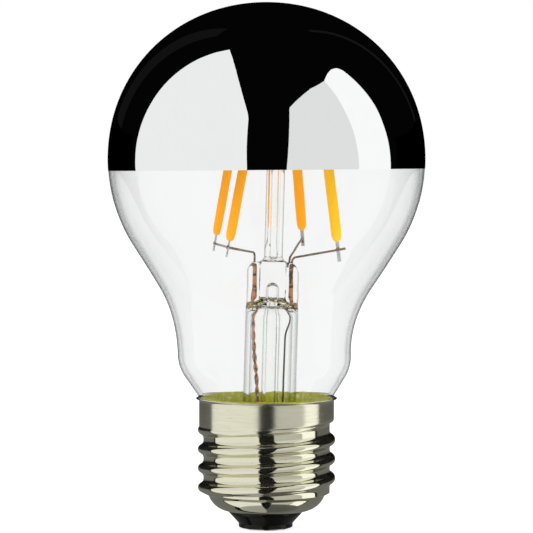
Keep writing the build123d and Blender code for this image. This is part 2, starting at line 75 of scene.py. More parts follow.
class Outline:
    """Half-section drawn like a pen stroke, as radius and height in millimetres."""

    def __init__(self, radius: float, height: float, heading: float = 90.0) -> None:
        """Puts the pen down.

        Args:
            radius: distance of the first point from the axis.
            height: height of the first point.
            heading: direction of the pen in degrees, 0 outwards and 90 up.
        """
        self.points: list[tuple[float, float]] = [(radius, height)]
        self.heading = heading

    def line(self, length: float, step: float = 1.2) -> "Outline":
        """Draws straight on.

        Args:
            length: length of the stroke.
            step: longest piece that it is divided into.

        Returns:
            The outline itself.
        """
        pieces = max(1, math.ceil(length / step))
        angle = math.radians(self.heading)
        radius, height = self.points[-1]
        for index in range(1, pieces + 1):
            run = length * index / pieces
            self.points.append((radius + run * math.cos(angle), height + run * math.sin(angle)))
        return self

    def to(self, radius: float, height: float, step: float = 1.2) -> "Outline":
        """Draws straight to a point and keeps that direction.

        Args:
            radius: radius of the end point.
            height: height of the end point.
            step: longest piece that the stroke is divided into.

        Returns:
            The outline itself.
        """
        across = radius - self.points[-1][0]
        along = height - self.points[-1][1]
        self.heading = math.degrees(math.atan2(along, across))
        return self.line(math.hypot(across, along), step)

    def arc(self, radius: float, turn: float, step: float = 3.0) -> "Outline":
        """Draws an arc that leaves along the pen's direction.

        Args:
            radius: radius of the arc.
            turn: angle that it turns through in degrees, to the left when positive.
            step: largest turn of one piece.

        Returns:
            The outline itself.
        """
        pieces = max(2, math.ceil(abs(turn) / step))
        side = 90.0 if turn > 0 else -90.0
        to_centre = math.radians(self.heading + side)
        start_radius, start_height = self.points[-1]
        centre = (start_radius + radius * math.cos(to_centre), start_height + radius * math.sin(to_centre))
        for index in range(1, pieces + 1):
            angle = to_centre + math.pi + math.radians(turn * index / pieces)
            self.points.append((centre[0] + radius * math.cos(angle), centre[1] + radius * math.sin(angle)))
        self.heading += turn
        return self

    def oval(self, rise: float, fullness: float, pieces: int) -> "Outline":
        """Draws from upright here to level on the axis.

        Args:
            rise: height gained, or lost when negative.
            fullness: how far the curve keeps each end's direction, 0.552 for nearly an ellipse.
            pieces: number of pieces.

        Returns:
            The outline itself.
        """
        radius, height = self.points[-1]
        corners = [
            Vector((radius, height)),
            Vector((radius, height + fullness * rise)),
            Vector((fullness * radius, height + rise)),
            Vector((0.0, height + rise)),
        ]
        for index in range(1, pieces + 1):
            share = index / pieces
            rest = 1.0 - share
            point = (
                corners[0] * rest**3
                + corners[1] * 3 * rest**2 * share
                + corners[2] * 3 * rest * share**2
                + corners[3] * share**3
            )
            self.points.append((point.x, point.y))
        return self


def deselect_all() -> None:
    """Leaves edit mode and deselects every object."""
    if bpy.context.mode != "OBJECT":
        bpy.ops.object.mode_set(mode="OBJECT")
    bpy.ops.object.select_all(action="DESELECT")


def take(piece: bpy.types.Object) -> None:
    """Makes one object the only selected and active one.

    Args:
        piece: the object.
    """
    deselect_all()
    piece.select_set(True)
    bpy.context.view_layer.objects.active = piece


@contextmanager
def editing(piece: bpy.types.Object) -> Iterator[None]:
    """Opens a piece in edit mode with all of it selected, and closes it again.

    Args:
        piece: the piece.

    Returns:
        A context in which the piece is in edit mode.
    """
    take(piece)
    bpy.ops.object.mode_set(mode="EDIT")
    bpy.ops.mesh.select_all(action="SELECT")
    yield
    bpy.ops.object.mode_set(mode="OBJECT")


def fresh(name: str) -> bpy.types.Object:
    """Names the object that an operator has just made, and its mesh.

    Args:
        name: the name for both.

    Returns:
        The object.
    """
    piece = bpy.context.object
    piece.name = name
    piece.data.name = name
    return piece


def stand(name: str, data: bpy.types.ID) -> bpy.types.Object:
    """Makes an object of a curve, lamp or camera and links it to the scene.

    Args:
        name: name of the object.
        data: what it shows.

    Returns:
        The object.
    """
    thing = bpy.data.objects.new(name, data)
    bpy.context.scene.collection.objects.link(thing)
    return thing


def hide(thing: bpy.types.Object, *rays: str) -> None:
    """Keeps an object out of what some kinds of ray see."""
    for ray in rays:
        setattr(thing, f"visible_{ray}", False)


def merge(gap: float) -> None:
    """Merges selected points nearer than a gap in millimetres and turns the faces outwards."""
    bpy.ops.mesh.remove_doubles(threshold=gap * MM)
    bpy.ops.mesh.normals_make_consistent(inside=False)


def turned(name: str, outline: Outline, steps: int, ends: Ends = Ends.OPEN) -> bpy.types.Object:
    """Spins an outline about Z into a mesh.

    Args:
        name: name of the piece.
        outline: half-section in millimetres.
        steps: number of facets around.
        ends: whether the outline is closed back to its first point.

    Returns:
        The new object, its doubles merged and its faces pointing outwards.
    """
    points = list(outline.points)
    if ends is Ends.CLOSED:
        points.append(points[0])
    deselect_all()
    bpy.ops.mesh.primitive_plane_add(size=MM)
    piece = fresh(name)
    with editing(piece):
        bpy.ops.mesh.merge(type="CENTER")
        bpy.ops.transform.translate(value=(points[0][0] * MM, 0.0, points[0][1] * MM))
        for before, after in zip(points, points[1:]):
            step = ((after[0] - before[0]) * MM, 0.0, (after[1] - before[1]) * MM)
            bpy.ops.mesh.extrude_vertices_move(TRANSFORM_OT_translate={"value": step})
        bpy.ops.mesh.select_all(action="SELECT")
        bpy.ops.mesh.spin(steps=steps, angle=math.tau, center=(0.0, 0.0, 0.0), axis=(0.0, 0.0, 1.0))
        bpy.ops.mesh.select_all(action="SELECT")
        merge(MERGE_GAP)
    return piece


def thicken(piece: bpy.types.Object, wall: float, even: bool = True) -> None:
    """Gives a turned skin its wall, on the inner side.

    Args:
        piece: the skin, which stays the outer side.
        wall: thickness in millimetres.
        even: whether the wall keeps its thickness round sharp bends.
    """
    take(piece)
    modifier = piece.modifiers.new("wall", "SOLIDIFY")
    modifier.thickness = wall * MM
    modifier.offset = -1.0
    modifier.use_even_offset = even
    bpy.ops.object.modifier_apply(modifier=modifier.name)


def smooth(piece: bpy.types.Object, angle: float = 40.0) -> None:
    """Shades a piece smooth, with edges sharper than an angle in degrees kept."""
    take(piece)
    bpy.ops.object.shade_smooth_by_angle(angle=math.radians(angle))


def join(first: bpy.types.Object, *others: bpy.types.Object) -> bpy.types.Object:
    """Joins objects into the first one.

    Args:
        first: the object that remains.
        others: the objects that become part of it.

    Returns:
        The joined object.
    """
    take(first)
    for other in others:
        other.select_set(True)
    bpy.ops.object.join()
    return first


def flip(piece: bpy.types.Object) -> None:
    """Turns all faces of a piece round, for a hollow inside a solid."""
    with editing(piece):
        bpy.ops.mesh.flip_normals()


def curve(name: str, points: list[Vector], kind: str) -> bpy.types.Object:
    """Makes a curve of one spline.

    Args:
        name: name of the curve.
        points: its control points in metres.
        kind: type of the spline.

    Returns:
        The curve's object.
    """
    line = bpy.data.curves.new(name, "CURVE")
    line.dimensions = "3D"
    spline = line.splines.new(kind)
    spline.points.add(len(points) - 1)
    for knot, point in zip(spline.points, points):
        knot.co = (*point, 1.0)
    return stand(name, line)


def wire(name: str, points: list[Vector], diameter: float, sides: int = 4) -> bpy.types.Object:
    """Makes a round wire through points.

    Args:
        name: name of the piece.
        points: route in metres.
        diameter: thickness in millimetres.
        sides: resolution of its round section.

    Returns:
        The wire as a closed mesh.
    """
    piece = curve(name, points, "POLY")
    piece.data.bevel_depth = diameter / 2 * MM
    piece.data.bevel_resolution = sides
    piece.data.use_fill_caps = True
    take(piece)
    bpy.ops.object.convert(target="MESH")
    piece = bpy.context.object
    smooth(piece)
    return piece


def route(points: list[Vector], resolution: int) -> list[Vector]:
    """Smooths a route with a NURBS spline.

    Args:
        points: control points.
        resolution: pieces to each control point.

    Returns:
        Points along the spline.
    """
    helper = curve("route", points, "NURBS")
    spline = helper.data.splines[0]
    spline.use_endpoint_u = True
    spline.order_u = 3
    spline.resolution_u = resolution
    mesh = bpy.data.meshes.new_from_object(helper)
    line = [vertex.co.copy() for vertex in mesh.vertices]
    bpy.data.meshes.remove(mesh)
    bpy.data.curves.remove(helper.data)
    return line


@dataclass(frozen=True)
class Wiring:
    """Node tree of a material or a world, filled with short calls."""

    tree: bpy.types.NodeTree

    @classmethod
    def of(cls, block: bpy.types.Material | bpy.types.World) -> "Wiring":
        """Turns on the nodes of a material or a world and takes hold of them."""
        block.use_nodes = True
        return cls(block.node_tree)

    def fill(self, node: bpy.types.Node, sockets: Sockets) -> None:
        """Sets or links sockets of a node.

        Args:
            node: the node.
            sockets: a number, a colour or another node's socket for each, by name or place.
        """
        for key, content in sockets.items():
            if isinstance(content, Socket):
                self.tree.links.new(content, node.inputs[key])
            else:
                node.inputs[key].default_value = content

    def add(self, kind: str, sockets: Sockets | None = None, **settings: object) -> bpy.types.Node:
        """Adds a node.

        Args:
            kind: its type, without the leading ShaderNode.
            sockets: what its sockets hold, as in fill.
            settings: its own properties.

        Returns:
            The node.
        """
        node = self.tree.nodes.new(f"ShaderNode{kind}")
        for key, value in settings.items():
            setattr(node, key, value)
        self.fill(node, sockets or {})
        return node

    def grain(self, place: Socket, lie: Grain, size: float, detail: float = 1.0) -> Socket:
        """Adds a noise pattern.

        Args:
            place: socket with the Object coordinates.
            lie: how the pattern lies.
            size: size of its spots in millimetres.
            detail: how much finer noise it holds.

        Returns:
            The socket with the pattern.
        """
        along = self.add("Mapping", {"Vector": place, "Scale": lie.value}).outputs["Vector"]
        sockets = {"Vector": along, "Scale": 1.0 / (size * MM), "Detail": detail}
        return self.add("TexNoise", sockets).outputs["Fac"]

    def ramp(
        self, value: Socket, start: float, end: float, low: float = 0.0, high: float = 1.0, **settings: object
    ) -> Socket:
        """Turns one range into another.

        Args:
            value: the socket that is read.
            start: value that gives low, as all before it do.
            end: value that gives high, as all past it do.
            low: result at the start.
            high: result at the end.
            settings: the node's own properties.

        Returns:
            The socket with the result.
        """
        sockets = {"Value": value, "From Min": start, "From Max": end, "To Min": low, "To Max": high}
        return self.add("MapRange", sockets, **settings).outputs["Result"]

    def blend(self, share: Socket, first: Socket | Colour, second: Colour) -> Socket:
        """Mixes two colours by a share, 0 for the first and 1 for the second."""
        start = first if isinstance(first, Socket) else (*first, 1.0)
        return self.add("Mix", {0: share, 6: start, 7: (*second, 1.0)}, data_type="RGBA").outputs[2]

    def times(self, first: Socket, second: Socket | float) -> Socket:
        """Multiplies two values."""
        return self.add("Math", {0: first, 1: second}, operation="MULTIPLY").outputs["Value"]

    def relief(self, pattern: Socket, depth: float) -> Socket:
        """Turns a pattern into relief, with its depth in millimetres."""
        sockets = {"Strength": 1.0, "Distance": depth * MM, "Height": pattern}
        return self.add("Bump", sockets).outputs["Normal"]

    def surface(self, shader: Socket) -> None:
        """Puts a shader on the material's surface."""
        self.fill(self.tree.nodes["Material Output"], {"Surface": shader})


@dataclass(frozen=True)
class Finish:
    """Opaque surface whose colour, gloss and relief vary finely."""

    name: str
    colour: Colour
    second_colour: Colour
    roughness: float
    roughness_spread: float = 0.05
    metallic: float = 0.0
    grain: Grain = Grain.SPECKLE
    grain_size: float = 0.5
    relief: float = 0.01
    specular: float = 0.5
    # glow: emission in the surface's own colour, painted light for a part that is no lamp
    glow: float = 0.0
    fleck: Colour | None = None
    fleck_size: float = 0.6
    fleck_edge: float = 0.6
    fleck_blur: float = 0.08
    burnish: float = 1.0
    burnish_height: float = 0.0
    burnish_blur: float = 0.5
    slot: str = ""

    def material(self) -> bpy.types.Material:
        """Builds the node material.

        Returns:
            The material.
        """
        material = bpy.data.materials.new(self.name)
        wiring = Wiring.of(material)
        place = wiring.add("TexCoord").outputs["Object"]
        fine = wiring.grain(place, self.grain, self.grain_size, detail=4.0)
        colour = wiring.blend(fine, self.colour, self.second_colour)
        if self.fleck:
            spots = wiring.grain(place, Grain.SPECKLE, self.fleck_size)
            share = wiring.ramp(spots, self.fleck_edge, self.fleck_edge + self.fleck_blur)
            colour = wiring.blend(share, colour, self.fleck)
        smoothest = max(0.0, self.roughness - self.roughness_spread)
        roughest = self.roughness + self.roughness_spread
        roughness = wiring.ramp(fine, *GRAIN_RANGE, low=smoothest, high=roughest)
        if self.burnish < 1.0:
            roughness = wiring.times(roughness, self.burnished(wiring, place))
        sockets = {
            "Base Color": colour,
            "Metallic": self.metallic,
            "Roughness": roughness,
            "Specular IOR Level": self.specular,
            "Normal": wiring.relief(fine, self.relief),
        }
        # painted light: the surface glows in its own colour
        if self.glow:
            sockets |= {"Emission Color": colour, "Emission Strength": self.glow}
        wiring.fill(wiring.tree.nodes["Principled BSDF"], sockets)
        return material

    def burnished(self, wiring: Wiring, place: Socket) -> Socket:
        """Finds how far the surface is glossier below a height, as where a roller worked it.

        Args:
            wiring: the material's nodes.
            place: socket with the Object coordinates.

        Returns:
            The socket with the factor for the roughness.
        """
        height = wiring.add("SeparateXYZ", {"Vector": place}).outputs["Z"]
        below = (self.burnish_height - self.burnish_blur) * MM
        above = (self.burnish_height + self.burnish_blur) * MM
        return wiring.ramp(height, below, above, low=self.burnish)


@dataclass(frozen=True)
class GlassFinish:
    """Clear glass that lets lamps through, with the faint streaks of drawn glass and painted shade at its
    grazing rim.
    """

    name: str
    colour: Colour
    painted_rim_shade: Colour
    rim_start: float
    rim_full: float
    ior: float = 1.5
    streak_size: float = 9.0
    streak_relief: float = 0.004
    mirror_share: float = 0.3
    shadow_colour: Colour = (0.98, 0.985, 0.98)
    slot: str = ""

    def material(self) -> bpy.types.Material:
        """Builds the node material.

        Returns:
            The material.
        """
        material = bpy.data.materials.new(self.name)
        wiring = Wiring.of(material)
        place = wiring.add("TexCoord").outputs["Object"]
        streaks = wiring.grain(place, Grain.UPRIGHT, self.streak_size)
        # painted shade: towards the grazing rim the glass colour turns to the darker rim colour
        slant = wiring.add("LayerWeight").outputs["Facing"]
        rim = wiring.ramp(slant, self.rim_start, self.rim_full, interpolation_type="SMOOTHSTEP")
        shader = wiring.tree.nodes["Principled BSDF"]
        sockets = {
            "Base Color": wiring.blend(rim, self.colour, self.painted_rim_shade),
            "Roughness": 0.0,
            "Specular Tint": (*(self.mirror_share,) * 3, 1.0),
            "IOR": self.ior,
            "Transmission Weight": 1.0,
            "Normal": wiring.relief(streaks, self.streak_relief),
        }
        wiring.fill(shader, sockets)
        shadow = wiring.add("LightPath").outputs["Is Shadow Ray"]
        clear = wiring.add("BsdfTransparent", {"Color": (*self.shadow_colour, 1.0)}).outputs["BSDF"]
        mix = wiring.add("MixShader", {0: shadow, 1: shader.outputs["BSDF"], 2: clear})
        wiring.surface(mix.outputs["Shader"])
        return material


# The darker second colours are painted shade at the grazing rims of the glass.
CLEAR_GLASS = GlassFinish("clear_glass", (0.99, 0.994, 0.992), (0.3, 0.32, 0.32), 0.7, 0.89)
STEM_GLASS = GlassFinish(
    "stem_glass", (0.99, 0.993, 0.985), (0.13, 0.15, 0.13), 0.3, 0.8, streak_size=2.0,
    streak_relief=0.02,
)
MIRROR_SKIN = Finish(
    "mirror_skin", (0.93, 0.935, 0.935), (0.9, 0.91, 0.91), 0.012, 0.006, metallic=1.0,
    grain_size=3.0, relief=0.0002,
)
NICKEL = Finish(
    "nickel", (0.8, 0.79, 0.64), (0.68, 0.66, 0.49), 0.2, 0.03, metallic=0.985,
    grain=Grain.TURNED, grain_size=0.25, relief=0.001,
    fleck=(0.25, 0.22, 0.14), fleck_size=0.32, fleck_edge=0.74, burnish=0.38, burnish_height=19.3,
)
BLACK_INSULATOR = Finish(
    "black_insulator", (0.003, 0.0035, 0.003), (0.007, 0.008, 0.006), 0.16, 0.05, relief=0.004,
    specular=0.16,
)
CEMENT = Finish(
    "cement", (0.95, 0.96, 0.06), (0.5, 0.48, 0.015), 0.8, 0.1, grain_size=0.8, relief=0.25,
    fleck=(0.98, 0.98, 0.4), fleck_size=0.7, fleck_edge=0.62,
)
# The phosphor glows as painted light, so that it looks brighter than the lamps make it.
PHOSPHOR = Finish(
    "phosphor", (0.97, 0.34, 0.002), (0.98, 0.43, 0.003), 0.5, 0.08, grain_size=1.2, relief=0.02,
    specular=0.05, glow=0.5,
)
# Paler, lit copy of the phosphor for the right front rod: painted light on the side the lamps fall on, with
# the same painted glow.
PHOSPHOR_PAINTED_LIT = Finish(
    "pale_phosphor", (1.0, 0.5, 0.002), (1.0, 0.58, 0.003), 0.4, 0.08, grain_size=1.2, relief=0.02,
    specular=0.1, glow=0.48, slot="phosphor",
)
STRIP_METAL = Finish(
    "strip_metal", (0.86, 0.88, 0.82), (0.5, 0.51, 0.44), 0.4, 0.1, grain_size=0.35,
    fleck=(0.12, 0.12, 0.08), fleck_size=0.5, fleck_edge=0.66,
)
LEAD_METAL = Finish(
    "lead_metal", (0.38, 0.29, 0.17), (0.13, 0.1, 0.06), 0.34, 0.1, metallic=0.75,
    grain_size=0.5, relief=0.006,
)
# Darker copy of the copper for the right copper lead: painted shade.
COPPER_PAINTED_SHADE = Finish(
    "dark_lead", (0.12, 0.1, 0.07), (0.05, 0.045, 0.04), 0.4, 0.1, metallic=0.5, grain_size=0.5,
    slot="copper",
)
DUMET = Finish(
    "dumet", (0.9, 0.42, 0.2), (0.5, 0.2, 0.08), 0.4, 0.1, metallic=0.4, grain_size=0.8, relief=0.02,
    fleck=(0.06, 0.05, 0.02), fleck_size=0.45, fleck_edge=0.5,
)
# Specks in the seal: partly the dumet's reddish borate glaze, partly painted reflections of the copper leads
# and dumet seen through the pressed glass.
GLAZE_AND_GLINT_SPECK = Finish(
    "seal_speck", (0.95, 0.62, 0.25), (0.55, 0.6, 0.25), 0.5, 0.1, grain_size=1.2, relief=0.01,
    fleck=(0.06, 0.07, 0.02), fleck_size=0.8, fleck_edge=0.55, slot="dumet",
)
COPPER = Finish(
    "copper", (0.9, 0.45, 0.25), (0.4, 0.18, 0.09), 0.3, 0.08, metallic=0.5, grain_size=0.5, relief=0.004,
    fleck=(0.05, 0.035, 0.02), fleck_size=0.5, fleck_edge=0.5,
)
CIRCUIT_BOARD = Finish("circuit_board", (0.78, 0.78, 0.72), (0.7, 0.7, 0.64), 0.5, 0.1, grain_size=0.6)
SOLDER = Finish("solder", (0.72, 0.72, 0.74), (0.55, 0.55, 0.57), 0.25, 0.08, metallic=1.0, grain_size=0.3)
COMPONENT_BLACK = Finish(
    "component_black", (0.02, 0.02, 0.02), (0.035, 0.035, 0.035), 0.55, 0.1, grain_size=0.1
)
CAPACITOR_SLEEVE = Finish(
    "capacitor_sleeve", (0.03, 0.03, 0.05), (0.05, 0.05, 0.07), 0.3, 0.05, grain_size=1.0
)
RESISTOR_BODY = Finish("resistor_body", (0.2, 0.35, 0.25), (0.16, 0.3, 0.21), 0.35, 0.05, grain_size=0.5)


@dataclass
class Dresser:
    """Hands out materials and hides the nodes that new pieces replace."""

    materials: dict[str, bpy.types.Material] = field(default_factory=dict)

    def material(self, finish: Finish | GlassFinish) -> bpy.types.Material:
        """Gives the one material of a finish.

        Args:
            finish: the surface.

        Returns:
            Its material, made the first time.
        """
        if finish.name not in self.materials:
            self.materials[finish.name] = finish.material()
        return self.materials[finish.name]

    def place(self, piece: bpy.types.Object, finish: Finish | GlassFinish, *nodes: str) -> None:
        """Dresses a new piece and lets it stand for nodes.

        Args:
            piece: the finished mesh.
            finish: its surface.
            nodes: the nodes that it replaces.
        """
        piece.data.materials.clear()
        piece.data.materials.append(self.material(finish))
        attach(piece, BODY)
        if nodes:
            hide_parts(*nodes)
        finish.slot or finish.name
        log.info("%s: %d faces, for %s", piece.name, len(piece.data.polygons), ", ".join(nodes) or "no node")

    def dress(self, finish: Finish | GlassFinish, *nodes: str) -> None:
        """Gives nodes of the frame a better material.

        Args:
            finish: the surface.
            nodes: names of the nodes.
        """
        for name in nodes:
            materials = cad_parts[name].data.materials
            materials.clear()
            materials.append(self.material(finish))
            log.info("%s: dressed in %s", name, finish.name)


@dataclass
class Envelope:
    """Blown glass envelope and the mirror skin on its crown. Sizes in millimetres."""

    wall: float = 0.7
    globe_radius: float = 29.8
    crown_height: float = 29.4
    crown_fullness: float = 0.567
    globe_arc: float = 30.1
    cone_length: float = 9.25
    waist_arc: float = 24.0
    waist_radius: float = 16.34
    waist_height: float = 32.8
    shoulder_arc: float = 7.5
    neck_length: float = 6.878
    blend_arc: float = 3.0
    seal_radius: float = 10.9
    seal_height: float = 17.5
    sway: float = 0.45
    sway_height: float = 35.5
    sway_reach: float = 15.0
    mirror_thickness: float = 0.08
    mirror_below_equator: float = 1.95
    mirror_tilt: float = 0.43
    skin_gap: float = 0.01
    steps: int = 192

    @staticmethod
    def slope_between(arcs: float, straight: float, reach: float) -> float:
        """Angle from the axis of a straight run between two arcs.

        Args:
            arcs: both arc radii together.
            straight: length of the run.
            reach: sideways distance that arcs and run cover.

        Returns:
            The angle in degrees.
        """
        slant = math.hypot(arcs, straight)
        return math.degrees(math.atan2(arcs, straight) + math.asin((reach - arcs) / slant))

    @property
    def cone_angle(self) -> float:
        """Slope of the cone below the globe, in degrees."""
        reach = self.globe_radius - self.waist_radius
        return self.slope_between(self.globe_arc + self.waist_arc, self.cone_length, reach)

    @property
    def neck_angle(self) -> float:
        """Slope of the neck above the cap, in degrees."""
        reach = self.waist_radius - self.seal_radius
        return self.slope_between(self.shoulder_arc + self.blend_arc, self.neck_length, reach)

    @property
    def equator_height(self) -> float:
        """Height of the widest place.

        Returns:
            The height in millimetres.
        """
        angle = math.radians(self.cone_angle)
        arcs = (self.globe_arc + self.waist_arc) * math.sin(angle)
        return self.waist_height + arcs + self.cone_length * math.cos(angle)

    def outline(self, outwards: float) -> Outline:
        """Draws the form from its seal to the crown.

        Args:
            outwards: how far outside the glass the outline runs.

        Returns:
            The outline.
        """
        lean = math.radians(self.neck_angle)
        arcs = self.shoulder_arc + self.blend_arc
        blend_height = self.waist_height - arcs * math.sin(lean) - self.neck_length * math.cos(lean)
        form = Outline(self.seal_radius + outwards, self.seal_height)
        form.to(self.seal_radius + outwards, blend_height)
        form.arc(self.blend_arc - outwards, -self.neck_angle)
        form.line(self.neck_length)
        form.arc(self.shoulder_arc + outwards, self.neck_angle)
        form.arc(self.waist_arc - outwards, -self.cone_angle, step=1.5)
        form.line(self.cone_length)
        form.arc(self.globe_arc + outwards, self.cone_angle, step=1.5)
        form.oval(self.crown_height + outwards, self.crown_fullness, pieces=48)
        return form

    def sway_neck(self, piece: bpy.types.Object) -> None:
        """Lets the neck stand a little to the left, as blown.

        Args:
            piece: the turned skin of the glass.
        """
        for vertex in piece.data.vertices:
            away = (vertex.co.z / MM - self.sway_height) / self.sway_reach
            if abs(away) < 1.0:
                vertex.co.x -= self.sway * MM * math.cos(away * math.pi / 2) ** 2

    def glass(self) -> bpy.types.Object:
        """Makes the envelope, a wall of even thickness that is open at the seal.

        Returns:
            The envelope.
        """
        piece = turned("blown_envelope", self.outline(0.0), self.steps)
        self.sway_neck(piece)
        thicken(piece, self.wall)
        smooth(piece, 60.0)
        return piece

    def mirror(self) -> bpy.types.Object:
        """Makes the mirror skin, cut along its slightly askew edge.

        Returns:
            The skin.
        """
        piece = turned("mirror_skin", self.outline(self.mirror_thickness), self.steps)
        tilt = math.radians(self.mirror_tilt)
        edge_height = (self.equator_height - self.mirror_below_equator) * MM
        with editing(piece):
            bpy.ops.mesh.bisect(
                plane_co=(0.0, 0.0, edge_height),
                plane_no=(-math.sin(tilt), 0.0, math.cos(tilt)),
                clear_inner=True,
            )
        thicken(piece, self.mirror_thickness - self.skin_gap)
        smooth(piece, 60.0)
        return piece

    def build(self, dresser: Dresser) -> None:
        """Makes both pieces and dresses them."""
        dresser.place(self.glass(), CLEAR_GLASS, "glass_envelope")
        dresser.place(self.mirror(), MIRROR_SKIN, "mirror_coating")


@dataclass
class ScrewCap:
    """Rolled screw shell, insulator and contact. Sizes in millimetres."""

    height: float = 24.8
    wall: float = 0.3
    pitch: float = 25.4 / 7
    crest_radius: float = 13.0
    root_radius: float = 11.95
    root_flat: float = 0.31
    turns: float = 3.0
    start_height: float = 7.75
    start_angle: float = 180.0
    fade_turns: float = 0.6
    skirt_radius: float = 12.75
    skirt_height: float = 19.55
    skirt_tilt: float = 3.0
    skirt_round: float = 0.55
    lip_curl: float = 0.35
    lip_edge_round: float = 0.25
    lip_edge_turn: float = 70.0
    bowl_arc: float = 4.2
    bowl_centre_radius: float = 7.0
    bowl_centre_height: float = 7.6
    bowl_shoulder_angle: float = -18.0
    bowl_slope: float = 27.0
    opening_radius: float = 7.3
    ring_step: float = 0.13
    skirt_step: float = 0.6
    steps: int = 240
    boss_radius: float = 5.1
    boss_shift: float = -0.16
    boss_round: float = 0.18
    boss_foot_round: float = 0.35
    boss_height: float = 0.75
    contact_proud: float = 0.25
    cone_height: float = 3.4
    contact_radius: float = 4.25
    contact_seat: float = 0.6
    contact_gap: float = 0.02
    cone_edge: float = 0.1

    def ridge(self, angle: float, height: float) -> float:
        """Radius of the rolled thread at a place.

        Args:
            angle: angle about the axis in degrees.
            height: height of the place.

        Returns:
            The radius, the root's where no ridge runs.
        """
        half_width = (self.pitch - self.root_flat) / 2
        depth = self.crest_radius - self.root_radius
        flank = (half_width**2 + depth**2) / (4 * depth)
        first = ((angle - self.start_angle) / 360.0) % 1.0 - 1.0
        radius = self.root_radius
        for turn in range(int(self.turns) + 2):
            along = first + turn
            away = abs(height - self.start_height - self.pitch * along)
            if away >= half_width:
                continue
            past = max(0.0, -along, along - self.turns) / self.fade_turns
            if away < half_width / 2:
                rise = depth - flank + math.sqrt(flank**2 - away**2)
            else:
                rise = flank - math.sqrt(flank**2 - (half_width - away) ** 2)
            radius = max(radius, self.root_radius + rise - depth * min(past, 1.0))
        return radius

    def skirt(self, across: float, height: float) -> float:
        """Radius of the skirt at a place, 0 below its askew edge.

        Args:
            across: X of the place.
            height: height of the place.

        Returns:
            The radius.
        """
        above = height - self.skirt_height - across * math.tan(math.radians(self.skirt_tilt))
        if above < 0.0:
            return 0.0
        short = max(0.0, self.skirt_round - above)
        return self.skirt_radius - self.skirt_round + math.sqrt(self.skirt_round**2 - short**2)

    def shell(self) -> bpy.types.Object:
        """Makes the rolled shell: bowl, thread, skirt and curled lip.

        Returns:
            The shell.
        """
        slope = math.radians(self.bowl_slope)
        opening = math.degrees(math.asin((self.opening_radius - self.bowl_centre_radius) / self.bowl_arc))
        foot_height = self.bowl_centre_height - self.bowl_arc * math.cos(math.radians(opening))
        form = Outline(self.opening_radius, foot_height, heading=opening)
        form.arc(self.bowl_arc, 90.0 + self.bowl_shoulder_angle - opening)
        shoulder_radius, shoulder_height = form.points[-1]
        climb = (self.root_radius - shoulder_radius) * math.tan(slope)
        form.to(self.root_radius, shoulder_height + climb, self.ring_step)
        curl_foot = self.height - self.lip_curl - self.wall
        form.to(self.root_radius, self.skirt_height + 2 * self.skirt_round, self.ring_step)
        form.to(self.root_radius, curl_foot, self.skirt_step)
        form.points[-1] = (self.skirt_radius, curl_foot)
        form.heading = 90.0
        form.arc(self.lip_curl, -90.0, step=10.0)
        form.arc(self.lip_edge_round, self.lip_edge_turn, step=12.0)
        piece = turned("screw_shell_rolled", form, self.steps)
        for vertex in piece.data.vertices:
            x, y, height = vertex.co / MM
            if not shoulder_height + MERGE_GAP < height < curl_foot - MERGE_GAP:
                continue
            angle = math.degrees(math.atan2(y, x))
            radius = max(self.ridge(angle, height), self.skirt(x, height))
            trim = shoulder_radius + (height - shoulder_height) / math.tan(slope)
            scale = min(radius, trim) / math.hypot(x, y)
            vertex.co.x *= scale
            vertex.co.y *= scale
        thicken(piece, self.wall, even=False)
        smooth(piece, 50.0)
        return piece

    def insulator(self) -> bpy.types.Object:
        """Makes the black insulator: boss, hollow cone and what sits in the bowl.

        Returns:
            The insulator.
        """
        inner_arc = self.bowl_arc - self.wall
        opening = math.degrees(math.asin((self.opening_radius - self.bowl_centre_radius) / inner_arc))
        cone_foot = self.contact_proud + self.boss_height
        cone = math.degrees(math.atan2(self.cone_height - cone_foot, self.opening_radius - self.boss_radius))
        fillet_run = self.boss_foot_round * math.tan(math.radians((90.0 - cone) / 2))
        form = Outline(0.0, self.contact_seat, heading=0.0)
        form.to(self.contact_radius + self.contact_gap, self.contact_seat)
        form.to(self.contact_radius + self.contact_gap, self.contact_proud)
        form.to(self.boss_radius - self.boss_round, self.contact_proud)
        form.arc(self.boss_round, 90.0, step=12.0)
        form.to(self.boss_radius, cone_foot - fillet_run)
        form.arc(self.boss_foot_round, cone - 90.0, step=8.0)
        form.to(self.opening_radius - self.cone_edge, self.cone_height - self.cone_edge)
        form.to(self.opening_radius, self.bowl_centre_height - inner_arc * math.cos(math.radians(opening)))
        form.heading = opening
        form.arc(inner_arc, 90.0 + self.bowl_shoulder_angle - opening)
        top = form.points[-1][1]
        form.to(0.0, top, 3.0)
        piece = turned("insulator_glass", form, 128)
        piece.data.transform(Matrix.Translation((self.boss_shift * MM, 0.0, 0.0)))
        smooth(piece, 35.0)
        return piece

    def build(self, dresser: Dresser) -> None:
        """Makes the cap's pieces and dresses them.

        Args:
            dresser: what dresses pieces and nodes.
        """
        dresser.place(self.shell(), NICKEL, "screw_shell")
        dresser.place(self.insulator(), BLACK_INSULATOR, "insulator")
        dresser.dress(NICKEL, "centre_contact", "contact_pin")


